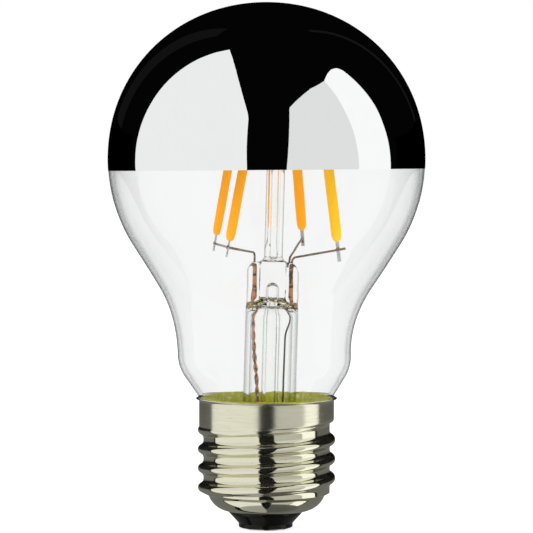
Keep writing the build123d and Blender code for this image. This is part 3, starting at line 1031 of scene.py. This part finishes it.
@dataclass
class Cement:
    """Ring of basing cement between glass and shell. Sizes in millimetres."""

    inner_radius: float = 10.95
    core_radius: float = 11.3
    outer_radius: float = 12.4
    low: float = 21.5
    high: float = 25.0
    bevel: float = 0.3
    crumbs_from: float = 23.65
    crumb: float = 0.14
    crumb_size: float = 1.3
    steps: int = 160

    def build(self, dresser: Dresser) -> None:
        """Makes the lumpy ring and dresses it.

        Args:
            dresser: what dresses pieces and nodes.
        """
        form = Outline(self.inner_radius, self.low)
        form.to(self.outer_radius, self.low, 0.4)
        form.to(self.outer_radius, self.high - self.bevel, 0.3)
        form.to(self.outer_radius - self.bevel, self.high, 0.2)
        form.to(self.core_radius, self.high, 0.25)
        form.to(self.core_radius, self.low, 0.3)
        piece = turned("basing_cement", form, self.steps, Ends.CLOSED)
        for vertex in piece.data.vertices:
            if vertex.co.z / MM > self.crumbs_from:
                lump = noise.noise(vertex.co / (self.crumb_size * MM))
                vertex.co.z += lump * self.crumb * MM
        smooth(piece, 80.0)
        dresser.place(piece, CEMENT, "cement_ring")


@dataclass
class Stem:
    """Pressed glass stem with its pump tube and post, which leans a little to the right."""

    offset: float = 0.5
    foot_height: float = 23.0
    lean: float = 1.6
    radius: float = 5.0
    wall: float = 1.0
    length: float = 17.4
    bell_radius: float = 9.9
    bell_drop: float = 5.5
    bell_outside: Edge = ((8.4, -4.8), (7.2, -3.7), (6.2, -2.7), (5.5, -1.6), (5.12, -0.7))
    bell_inside: Edge = ((4.15, -0.8), (4.6, -1.8), (5.3, -2.9), (6.5, -4.1), (7.6, -5.0), (8.6, -5.6))
    dome_height: float = 2.2
    dome_gap: float = 0.9
    shoulder_length: float = 3.0
    press_length: float = 7.2
    press_width: float = 9.8
    press_depth: float = 3.4
    press_fade: float = 1.2
    seam_gap: float = 0.01
    lobe_width: float = 2.5
    web_thickness: float = 1.8
    top_round: float = 0.75
    lobe_drop: float = 1.3
    lobe_drop_right: float = 0.5
    lobe_drop_power: int = 7
    ripple: float = 0.13
    ripple_size: float = 2.2
    post_radius: float = 1.75
    post_foot_round: float = 1.1
    post_length: float = 38.6
    post_tip_round: float = 0.8
    post_bore: float = 0.67
    post_bore_end: float = 0.25
    post_bore_top_gap: float = 2.8
    specks: int = 90
    speck_size: float = 0.36
    speck_seed: int = 7
    speck_spread: tuple[float, float] = (0.86, 0.6)
    speck_heights: tuple[float, float] = (-0.35, 0.5)
    speck_rise: float = 0.35
    speck_sag: float = 1.3
    speck_lengths: tuple[float, float] = (0.6, 2.4)
    speck_depth: float = 0.8
    speck_thickness: tuple[float, float] = (0.4, 1.3)
    speck_tilt: float = 0.9
    exhaust_radius: float = 1.6
    exhaust_bore: float = 0.95
    exhaust_tip: float = -10.6
    exhaust_tip_flat: float = 0.2
    blow_hole_radius: float = 1.3
    blow_hole_foot: float = 20.0
    blow_hole_height: float = 2.4
    blow_hole_slope: float = 0.6
    steps: int = 96

    @property
    def place(self) -> Matrix:
        """Where the stem's own axes stand, in metres."""
        move = Matrix.Translation((self.offset * MM, 0.0, self.foot_height * MM))
        return move @ Matrix.Rotation(math.radians(self.lean), 4, "Y")

    @property
    def press_foot(self) -> float:
        """Height of the foot of the press above the straight tube's foot."""
        return self.length + self.shoulder_length

    @property
    def press_top(self) -> float:
        """Height of the top of the press."""
        return self.press_foot + self.press_length

    def on_stem(self, x: float, y: float, z: float) -> Vector:
        """Point given on the stem's axes in millimetres, in the bulb's frame in metres."""
        return self.place @ (Vector((x, y, z)) * MM)

    def half_depth(self, across: float, height: float) -> float:
        """Half the depth of the pressed glass at a place.

        Args:
            across: distance from the stem's axis along the press.
            height: height on the stem's axes.

        Returns:
            Half the depth.
        """
        half_width = self.press_width / 2
        across = min(abs(across), half_width)
        half_slot = self.press_depth / 2
        end = max(0.0, across - (half_width - half_slot))
        slot = math.sqrt(max(0.0, half_slot**2 - end**2))
        lobe_half = self.lobe_width / 2
        from_lobe = (across - (half_width - lobe_half)) / lobe_half
        lobe = half_slot * math.sqrt(max(0.0, 1.0 - from_lobe**2))
        web = self.web_thickness / 2 if across < half_width - lobe_half else 0.0
        dumbbell = (lobe**4 + web**4) ** 0.25
        pressed = min(1.0, max(0.0, (height - self.press_foot) / self.press_fade + 0.5))
        return slot + (dumbbell - slot) * pressed

    def press(self, piece: bpy.types.Object) -> None:
        """Squeezes the turned outer skin between tube and post into the press.

        Args:
            piece: the turned skin, on the stem's axes.
        """
        half_width = self.press_width / 2
        for vertex in piece.data.vertices:
            x, y, height = vertex.co / MM
            if height < self.length or height > self.press_top + MERGE_GAP:
                continue
            radius = math.hypot(x, y)
            full = min(1.0, radius / self.radius)
            share = min(1.0, (height - self.length) / self.shoulder_length)
            share = share * share * (3 - 2 * share)
            across = half_width * x / radius
            depth = math.copysign(self.half_depth(across, height), y) if abs(y) > MERGE_GAP * radius else 0.0
            pressed_x = across * full
            pressed_y = depth * full
            near_top = max(0.0, 1.0 - (self.press_top - height) / (3 * self.top_round))
            outwards = min(1.0, abs(pressed_x) / half_width) ** self.lobe_drop_power
            drop = self.lobe_drop + (self.lobe_drop_right if pressed_x > 0 else 0.0)
            vertex.co.x = (x + (pressed_x - x) * share) * MM
            vertex.co.y = (y + (pressed_y - y) * share) * MM
            vertex.co.z -= drop * outwards * near_top * MM
            lump = noise.noise_vector(vertex.co / (self.ripple_size * MM)) * self.ripple * MM
            vertex.co += lump * share

    def outer_skin(self) -> bpy.types.Object:
        """Makes the skin from the bell over the press to the tip of the post.

        Returns:
            The skin, on the stem's axes.
        """
        form = Outline(self.bell_radius, -self.bell_drop)
        form.points += self.bell_outside
        form.to(self.radius, 0.0)
        form.to(self.radius, self.length, 0.8)
        form.to(self.radius, self.press_top - self.top_round, 0.3)
        form.heading = 90.0
        form.arc(self.top_round, 90.0, step=15.0)
        form.to(self.post_radius + self.post_foot_round, self.press_top, 0.3)
        form.heading = 180.0
        form.arc(self.post_foot_round, -90.0, step=10.0)
        tip = self.press_top + self.post_length
        form.to(self.post_radius, tip - self.post_tip_round, 1.5)
        form.heading = 90.0
        form.arc(self.post_tip_round, 90.0, step=10.0)
        form.to(0.0, tip, 0.3)
        piece = turned("fused_stem", form, self.steps)
        self.press(piece)
        return piece

    def under_skin(self) -> bpy.types.Object:
        """Makes the skin inside the bell and tube, over the dome and down round the pump tube.

        Returns:
            The skin, on the stem's axes.
        """
        form = Outline(0.0, self.exhaust_tip)
        form.to(self.exhaust_tip_flat, self.exhaust_tip)
        form.arc(self.exhaust_radius - self.exhaust_tip_flat, 90.0, step=12.0)
        form.to(self.exhaust_radius, self.length + self.dome_height - self.dome_gap, 1.0)
        form.arc(self.dome_gap / 2, -90.0, step=18.0)
        inner = self.radius - self.wall
        form.arc(inner - form.points[-1][0], -90.0, step=8.0)
        form.to(inner, 0.0, 1.0)
        form.points += self.bell_inside
        form.to(self.bell_radius, -self.bell_drop)
        return turned("stem_under_skin", form, self.steps)

    def hollow(
        self, name: str, radius: float, low: float, high: float, top_radius: float
    ) -> bpy.types.Object:
        """Makes the wall of a sealed bore on the stem's axis.

        Args:
            name: name of the piece.
            radius: radius of the bore.
            low: height of its lower end.
            high: height where it widens to the top radius.
            top_radius: radius of its round top.

        Returns:
            The wall, its faces towards the bore.
        """
        form = Outline(0.0, low, heading=0.0)
        form.arc(radius, 90.0, step=15.0)
        form.to(radius, high, 2.0)
        if top_radius > radius:
            form.to(top_radius, high + self.blow_hole_slope, 0.2)
            form.to(top_radius, high + self.blow_hole_height, 0.5)
        form.heading = 90.0
        form.arc(top_radius, 90.0, step=15.0)
        piece = turned(name, form, 48)
        flip(piece)
        return piece

    def glass(self) -> bpy.types.Object:
        """Makes the fused stem as one glass with two sealed bores.

        Returns:
            The stem where it stands in the bulb.
        """
        piece = join(self.outer_skin(), self.under_skin())
        with editing(piece):
            merge(self.seam_gap)
        pump_foot = self.exhaust_tip + self.exhaust_radius
        pump_bore = self.hollow(
            "pump_bore", self.exhaust_bore, pump_foot, self.blow_hole_foot, self.blow_hole_radius
        )
        post_foot = self.press_top + self.post_bore_end
        post_end = self.press_top + self.post_length - self.post_bore_top_gap
        post_bore = self.hollow("post_bore", self.post_bore, post_foot, post_end, self.post_bore)
        piece = join(piece, pump_bore, post_bore)
        off_centre = self.offset - self.bell_drop * math.sin(math.radians(self.lean))
        for vertex in piece.data.vertices:
            below = max(0.0, -vertex.co.z / MM) / self.bell_drop
            vertex.co.x -= min(below, 1.0) * off_centre * MM
        piece.data.transform(self.place)
        smooth(piece, 50.0)
        return piece

    def seal_specks(self) -> bpy.types.Object:
        """Makes the coloured specks that lie in the glass where tube and press were fused: partly the dumet's
        reddish borate glaze, partly painted reflections of the copper leads and dumet seen through the
        pressed glass.

        Returns:
            All specks as one piece.
        """
        chance = random.Random(self.speck_seed)
        deselect_all()
        bpy.ops.mesh.primitive_ico_sphere_add(subdivisions=2, radius=self.speck_size / 2 * MM)
        first = fresh("seal_specks")
        specks = [first] + [stand("speck", first.data.copy()) for _ in range(self.specks - 1)]
        wide, deep = self.speck_spread
        middle = self.length + self.dome_height + self.speck_rise
        for speck in specks:
            across = chance.uniform(-wide, wide)
            depth = chance.uniform(-deep, deep)
            height = middle - self.speck_sag * across**2 + chance.uniform(*self.speck_heights)
            spot = self.on_stem(across * self.press_width / 2, depth * self.press_depth / 2, height)
            length = chance.uniform(*self.speck_lengths)
            thickness = chance.uniform(*self.speck_thickness)
            size = Matrix.Diagonal((length, self.speck_depth, thickness, 1.0))
            tilt = Matrix.Rotation(chance.uniform(-self.speck_tilt, self.speck_tilt), 4, "Y")
            speck.data.transform(Matrix.Translation(spot) @ tilt @ size)
        return join(*specks)

    def build(self, dresser: Dresser) -> None:
        """Makes the stem and its specks and dresses them."""
        dresser.place(self.glass(), STEM_GLASS, "stem_flare", "exhaust_tube", "centre_post")
        # The specks carry painted reflections of the leads as well as the glaze of the seal.
        dresser.place(self.seal_specks(), GLAZE_AND_GLINT_SPECK)


@dataclass
class Leads:
    """Copper strands inside the flare. Sizes in millimetres."""

    stem: Stem
    diameter: float = 0.4
    twist_radius: float = 0.2
    twist_pitch: float = 4.2
    spread: float = 3.55
    foot: float = 17.6
    pad: tuple[float, float] = (-3.0, -3.6)
    pad_bend: float = 13.0
    board_height: float = 7.4

    def strands(self) -> list[bpy.types.Object]:
        """Makes the two strands, twisted round each other along one route.

        Returns:
            Both strands.
        """
        on_stem = self.stem.on_stem
        guide = [
            on_stem(-self.spread, 0.1, self.foot),
            on_stem(-self.spread, 0.1, self.foot - 1.6),
            on_stem(-3.3, -0.5, 13.0),
            on_stem(-2.9, -1.3, 9.0),
            on_stem(-2.4, -1.5, 5.0),
            on_stem(-2.1, -1.55, 0.0),
            Vector((*self.pad, self.pad_bend)) * MM,
            Vector((*self.pad, self.board_height)) * MM,
        ]
        line = route(guide, 16)
        last = len(line) - 1
        strands = []
        for index, name in enumerate(("copper_strand_a", "copper_strand_b")):
            points = []
            travelled = 0.0
            for place, point in enumerate(line):
                if place:
                    travelled += (point - line[place - 1]).length
                tangent = (line[min(place + 1, last)] - line[max(place - 1, 0)]).normalized()
                side = tangent.cross(Vector((0.0, 1.0, 0.0))).normalized()
                other = tangent.cross(side)
                angle = math.tau * travelled / (self.twist_pitch * MM) + math.pi * index
                away = side * math.cos(angle) + other * math.sin(angle)
                points.append(point + away * self.twist_radius * MM)
            strands.append(wire(name, points, self.diameter))
        return strands

    def build(self, dresser: Dresser) -> None:
        """Makes the strands and dresses all wires.

        Args:
            dresser: what dresses pieces and nodes.
        """
        first, second = self.strands()
        dresser.place(first, COPPER, "copper_lead_left_a")
        dresser.place(second, COPPER, "copper_lead_left_b")
        dresser.dress(LEAD_METAL, "inner_lead_left", "inner_lead_right_rear", "inner_lead_right_front")
        dresser.dress(LEAD_METAL, "top_support_rear", "top_support_front")
        dresser.dress(DUMET, "dumet_left", "dumet_right")
        # The right copper lead gets the darker copy of the copper, painted shade.
        dresser.dress(COPPER_PAINTED_SHADE, "copper_lead_right")
        dresser.dress(COPPER, "centre_wire", "side_wire")


@dataclass(frozen=True)
class Rod:
    """Place and size of one coated rod, in millimetres on the stem's axes."""

    name: str
    angle: float
    low_radius: float
    high_radius: float
    low: float
    radius: float
    finish: Finish
    weld_drop: float
    lift: float = 0.0

    @property
    def outwards(self) -> Vector:
        """Direction from the axis to the rod."""
        turn = math.radians(self.angle)
        return Vector((math.cos(turn), math.sin(turn), 0.0))

    def lean(self, length: float) -> float:
        """Lean of a rod of some length towards the axis, in radians."""
        return math.asin((self.low_radius - self.high_radius) / length)


RODS = (
    Rod("left_rear", 151.0, 12.6, 7.4, 4.4, 0.82, PHOSPHOR, weld_drop=1.7),
    Rod("left_front", 229.0, 12.5, 5.5, 3.9, 0.89, PHOSPHOR, weld_drop=1.2),
    Rod("right_rear", 64.0, 12.4, 5.2, 5.5, 0.95, PHOSPHOR, weld_drop=2.1, lift=0.2),
    # The right front rod wears the lit copy of the phosphor, painted light.
    Rod("right_front", -14.0, 12.3, 7.8, 3.4, 0.98, PHOSPHOR_PAINTED_LIT, weld_drop=0.7, lift=0.7),
)


@dataclass
class Filaments:
    """Four phosphor-coated filaments, their strips and their welds. Sizes in millimetres."""

    stem: Stem
    length: float = 30.0
    tip_length: float = 1.7
    tip_radius: float = 0.35
    tip_steps: int = 12
    unevenness: float = 0.06
    unevenness_size: float = 4.0
    weld_radius: float = 0.36
    weld_lump: float = 0.2
    weld_lump_size: float = 0.5

    def tip(self, radius: float) -> list[tuple[float, float]]:
        """Draws the round end of a rod.

        Args:
            radius: radius of the rod.

        Returns:
            Radius and distance from the end, from the flat of the tip to the full rod.
        """
        rounding = []
        for index in range(self.tip_steps + 1):
            turn = math.pi / 2 * index / self.tip_steps
            across = self.tip_radius + (radius - self.tip_radius) * math.sin(turn)
            rounding.append((across, self.tip_length * (1 - math.cos(turn))))
        return rounding

    def body(self, rod: Rod) -> bpy.types.Object:
        """Makes one coated rod where its node stands.

        Args:
            rod: the filament.

        Returns:
            The rod.
        """
        length = self.length - rod.lift
        tip = self.tip(rod.radius)
        form = Outline(0.0, 0.0)
        form.points += tip
        form.to(rod.radius, length - self.tip_length, 0.9)
        form.points += [(across, length - away) for across, away in reversed(tip[:-1])]
        form.to(0.0, length)
        piece = turned(f"phosphor_{rod.name}", form, 40)
        for vertex in piece.data.vertices:
            place = vertex.co / (self.unevenness_size * MM) + Vector((rod.angle, 0.0, 0.0))
            lump = 1.0 + self.unevenness * noise.noise(place)
            vertex.co.x *= lump
            vertex.co.y *= lump
            vertex.co.z += rod.lift * MM
        lean = rod.lean(self.length)
        upright = Vector((0.0, 0.0, math.cos(lean))) - rod.outwards * math.sin(lean)
        foot = rod.outwards * rod.low_radius + Vector((0.0, 0.0, self.stem.press_top + rod.low))
        spin = upright.to_track_quat("Z", "Y").to_matrix().to_4x4()
        piece.data.transform(self.stem.place @ Matrix.Translation(foot * MM) @ spin)
        smooth(piece, 60.0)
        return piece

    def weld(self, rod: Rod) -> bpy.types.Object:
        """Makes the lumpy weld where a rod's lower tab meets its lead.

        Args:
            rod: the filament.

        Returns:
            The weld.
        """
        lean = rod.lean(self.length)
        across = rod.low_radius + rod.weld_drop * math.tan(lean)
        height = self.stem.press_top + rod.low - rod.weld_drop
        centre = self.stem.on_stem(across * rod.outwards.x, across * rod.outwards.y, height)
        deselect_all()
        bpy.ops.mesh.primitive_ico_sphere_add(subdivisions=4, radius=self.weld_radius * MM)
        piece = fresh(f"weld_{rod.name}")
        piece.data.transform(Matrix.Translation(centre))
        for vertex in piece.data.vertices:
            lump = noise.noise_vector(vertex.co / (self.weld_lump_size * MM))
            vertex.co += lump * self.weld_lump * MM
        smooth(piece, 60.0)
        return piece

    def build(self, dresser: Dresser) -> None:
        """Makes the rods and welds and dresses them and the strips.

        Args:
            dresser: what dresses pieces and nodes.
        """
        for rod in RODS:
            dresser.place(self.body(rod), rod.finish, f"filament_{rod.name}")
            dresser.place(self.weld(rod), LEAD_METAL)
            dresser.dress(STRIP_METAL, f"strip_{rod.name}")


@dataclass
class Driver:
    """Driver board in the cap, hidden behind the shell."""

    def build(self, dresser: Dresser) -> None:
        """Dresses the board and what stands on it.

        Args:
            dresser: what dresses pieces and nodes.
        """
        dresser.dress(CIRCUIT_BOARD, "driver_board")
        dresser.dress(SOLDER, "solder_joints")
        dresser.dress(COMPONENT_BLACK, "bridge_rectifier", "driver_chip")
        dresser.dress(CAPACITOR_SLEEVE, "smoothing_capacitor")
        dresser.dress(RESISTOR_BODY, "fuse_resistor")


@dataclass(frozen=True)
class LightCard:
    """Glowing card that only reflections show, bounded by directions from the bulb.

    Each edge is a list of elevations in degrees with the azimuth there, 0 towards the camera and
    positive to the right. The glow fades from its upper to its lower brightness between two heights.
    """

    name: str
    brightness: float
    low_brightness: float
    near_edge: Edge
    far_edge: Edge
    fade_low: float = -0.012
    fade_high: float = 0.018
    distance: float = 0.4
    centre_height: float = 0.075
    rows: int = 110
    columns: int = 14

    @staticmethod
    def azimuth(edge: Edge, elevation: float) -> float:
        """Azimuth of an edge at an elevation, between its two nearest entries.

        Args:
            edge: elevations with their azimuths.
            elevation: the elevation in degrees.

        Returns:
            The azimuth in degrees.
        """
        if elevation <= edge[0][0]:
            return edge[0][1]
        for (low, low_azimuth), (high, high_azimuth) in zip(edge, edge[1:]):
            if elevation <= high:
                return low_azimuth + (high_azimuth - low_azimuth) * (elevation - low) / (high - low)
        return edge[-1][1]

    def material(self) -> bpy.types.Material:
        """Builds the glow, which fades towards the lower end.

        Returns:
            The material.
        """
        material = bpy.data.materials.new(self.name)
        wiring = Wiring.of(material)
        wiring.tree.nodes.remove(wiring.tree.nodes["Principled BSDF"])
        place = wiring.add("TexCoord").outputs["Object"]
        height = wiring.add("SeparateXYZ", {"Vector": place}).outputs["Z"]
        ends = (self.fade_low, self.fade_high, self.low_brightness, self.brightness)
        strength = wiring.ramp(height, *ends, interpolation_type="SMOOTHSTEP")
        wiring.surface(wiring.add("Emission", {"Strength": strength}).outputs["Emission"])
        return material

    def build(self) -> None:
        """Makes the card and hides it from everything but reflections."""
        deselect_all()
        bpy.ops.mesh.primitive_grid_add(x_subdivisions=self.columns, y_subdivisions=self.rows, size=2.0)
        card = fresh(self.name)
        lowest = self.near_edge[0][0]
        highest = max(self.near_edge[-1][0], self.far_edge[-1][0])
        for vertex in card.data.vertices:
            across = (vertex.co.x + 1.0) / 2
            up = (vertex.co.y + 1.0) / 2
            elevation = lowest + (highest - lowest) * up
            near = self.azimuth(self.near_edge, elevation)
            far = self.azimuth(self.far_edge, elevation)
            azimuth = math.radians(near + (far - near) * across)
            level = math.cos(math.radians(elevation)) * self.distance
            vertex.co = (
                level * math.sin(azimuth),
                -level * math.cos(azimuth),
                self.centre_height + self.distance * math.sin(math.radians(elevation)),
            )
        card.data.materials.append(self.material())
        hide(card, "camera", "diffuse", "transmission", "shadow")


def upright_edge(azimuth: float, low: float, high: float) -> Edge:
    """Gives an edge that keeps its azimuth between two elevations."""
    return ((low, azimuth), (high, azimuth))


RIGHT_SPLIT = (
    (-60, 67), (-5, 67), (2, 66.1), (8, 65.2), (15, 64.4), (22.5, 62.9), (30, 61.8), (38, 60.9),
    (47.4, 59.0),
)
CARDS = (
    LightCard(
        "left_card", 0.9, 0.98,
        near_edge=(
            (-66, -14), (-5.6, -13.3), (6, -13.5), (25.9, -13.3), (30.1, -14.4), (34.4, -16.3), (38.7, -18.5),
            (43, -21), (47.4, -23.9), (51.9, -27.6), (56.3, -32.2), (60.7, -38), (64.8, -46.3), (68.5, -57.9),
            (71, -74.6), (71.4, -85),
        ),
        far_edge=(
            (-66, -106), (-3.7, -105.2), (6, -104.5), (14, -103.4), (22.6, -102.2), (32.6, -100.9),
            (40.4, -99.7), (50, -97.7), (56.2, -95.9), (64.6, -91.7), (71.4, -85),
        ),
    ),
    LightCard(
        "right_card", 0.79, 0.6,
        near_edge=(
            (-60, 12), (-5.6, 13.8), (6, 14.8), (17.7, 15.9), (30, 17.4), (33.5, 18), (38.3, 24.7),
            (42.2, 32), (45.7, 41), (48.6, 58),
        ),
        far_edge=(*RIGHT_SPLIT, (48.6, 58.5)),
    ),
    LightCard(
        "right_outer_card", 1.02, 1.3,
        near_edge=(*RIGHT_SPLIT, (48.6, 58.2), (51, 64.5), (52.6, 70), (53.2, 76)),
        far_edge=(
            (-60, 100), (-4, 97), (6.7, 95.4), (15.3, 93.9), (24.7, 93), (35.6, 90.8), (44, 89.1), (49, 88.1),
            (52, 85.2), (53.2, 78),
        ),
    ),
    LightCard("left_rim_card", 0.006, 0.011, upright_edge(-131, -10, 62), upright_edge(-147, -10, 62)),
    LightCard("right_rim_card", 0.008, 0.008, upright_edge(140, -10, 62), upright_edge(144, -10, 62)),
    LightCard(
        "low_back_card", 0.0, 0.18, upright_edge(104, -60, 8), upright_edge(250, -60, 8),
        fade_low=-0.05, fade_high=0.045,
    ),
    LightCard(
        "table_left_card", 0.5, 0.4, upright_edge(-180, -89, -66), upright_edge(-14, -89, -66),
        fade_low=-0.32, fade_high=-0.27, rows=24, columns=32,
    ),
    LightCard(
        "table_right_card", 0.14, 0.1, upright_edge(12, -89, -60), upright_edge(180, -89, -60),
        fade_low=-0.32, fade_high=-0.27, rows=24, columns=32,
    ),
)


@dataclass(frozen=True)
class Lamp:
    """Soft square lamp that points at the bulb. Sizes in metres, power in watts."""

    name: str
    place: tuple[float, float, float]
    size: float
    power: float
    aim_height: float = 0.05

    def build(self) -> None:
        """Hangs the lamp, which gives light and is seen nowhere."""
        light = bpy.data.lights.new(self.name, "AREA")
        light.size = self.size
        light.energy = self.power
        lamp = stand(self.name, light)
        lamp.location = self.place
        aim = Vector((0.0, 0.0, self.aim_height)) - lamp.location
        lamp.rotation_euler = aim.to_track_quat("-Z", "Y").to_euler()
        hide(lamp, "camera", "glossy", "transmission")


LAMPS = (
    Lamp("left_lamp", (-0.8, -0.5, 0.5), 0.7, 4.5),
    Lamp("right_lamp", (0.75, -0.45, 0.45), 0.6, 3.5),
    Lamp("top_lamp", (0.0, 0.1, 1.1), 0.8, 3.0),
)


@dataclass
class Studio:
    """White studio: world, cards, lamps, floor and camera. Sizes in metres."""

    ambient: float = 0.95
    through_glass: float = 0.94
    mirrored: float = 0.0012
    floor_size: float = 8.0
    floor_albedo: float = 0.4
    floor_glow: float = 0.8
    floor_roughness: float = 0.9
    camera_distance: float = 0.487
    camera_height: float = 0.0687
    camera_offset: float = -0.00001
    aim_height: float = 0.0495
    focal_pixels: float = 2584.0
    frame_pixels: float = 533.0
    sensor_width: float = 36.0
    nearest: float = 0.01
    bounces: int = 32
    glass_bounces: int = 28
    clear_bounces: int = 24

    def world(self) -> None:
        """Makes the world white to look at and through glass, and dark in mirrors."""
        world = bpy.data.worlds.new("studio")
        bpy.context.scene.world = world
        wiring = Wiring.of(world)
        path = wiring.add("LightPath").outputs
        soft = wiring.add("Math", {0: path["Diffuse Depth"], 1: 0.5}, operation="GREATER_THAN")
        brightness = 1.0
        for chooser, value in (
            (path["Is Glossy Ray"], self.mirrored),
            (path["Is Transmission Ray"], self.through_glass),
            (soft.outputs["Value"], self.ambient),
        ):
            brightness = wiring.add("Mix", {0: chooser, 2: brightness, 3: value}).outputs[0]
        back = wiring.tree.nodes["Background"]
        wiring.fill(back, {"Color": (*WHITE, 1.0), "Strength": brightness})

    def floor(self) -> None:
        """Lays the pale floor, which reads white but keeps the bulb's shadow."""
        deselect_all()
        bpy.ops.mesh.primitive_plane_add(size=self.floor_size)
        floor = fresh("floor")
        material = bpy.data.materials.new("floor")
        wiring = Wiring.of(material)
        shader = wiring.tree.nodes["Principled BSDF"]
        sockets = {
            "Base Color": (*(self.floor_albedo,) * 3, 1.0),
            "Roughness": self.floor_roughness,
            "Specular IOR Level": 0.0,
        }
        wiring.fill(shader, sockets)
        seen = wiring.add("LightPath").outputs["Is Camera Ray"]
        glow = wiring.add("Emission", {"Strength": wiring.times(seen, self.floor_glow)})
        add = wiring.add("AddShader", {0: shader.outputs["BSDF"], 1: glow.outputs["Emission"]})
        wiring.surface(add.outputs["Shader"])
        floor.data.materials.append(material)
        hide(floor, "glossy", "transmission")

    def camera(self) -> None:
        """Stands the camera where the photograph was taken from."""
        camera = stand("camera", bpy.data.cameras.new("camera"))
        camera.data.sensor_width = self.sensor_width
        camera.data.lens = self.sensor_width * self.focal_pixels / self.frame_pixels
        camera.data.clip_start = self.nearest
        camera.location = (self.camera_offset, -self.camera_distance, self.camera_height)
        fall = math.atan2(self.camera_height - self.aim_height, self.camera_distance)
        camera.rotation_euler = (math.pi / 2 - fall, 0.0, 0.0)
        bpy.context.scene.camera = camera

    def build(self) -> None:
        """Sets up the studio."""
        self.world()
        self.floor()
        for light in (*CARDS, *LAMPS):
            light.build()
        self.camera()
        scene = bpy.context.scene
        scene.view_settings.view_transform = "Standard"
        scene.cycles.max_bounces = self.bounces
        scene.cycles.transmission_bounces = self.glass_bounces
        scene.cycles.transparent_max_bounces = self.clear_bounces


def main() -> None:
    """Builds every sub-assembly in order, then the studio."""
    logging.basicConfig(level=logging.INFO, format="%(name)s: %(message)s")
    noise.seed_set(NOISE_SEED)
    deselect_all()
    dresser = Dresser()
    stem = Stem()
    for assembly in (Envelope(), ScrewCap(), Cement(), stem, Leads(stem), Filaments(stem), Driver()):
        log.info("building %s", type(assembly).__name__)
        assembly.build(dresser)
    Studio().build()
    deselect_all()


if __name__ == "__main__":
    main()
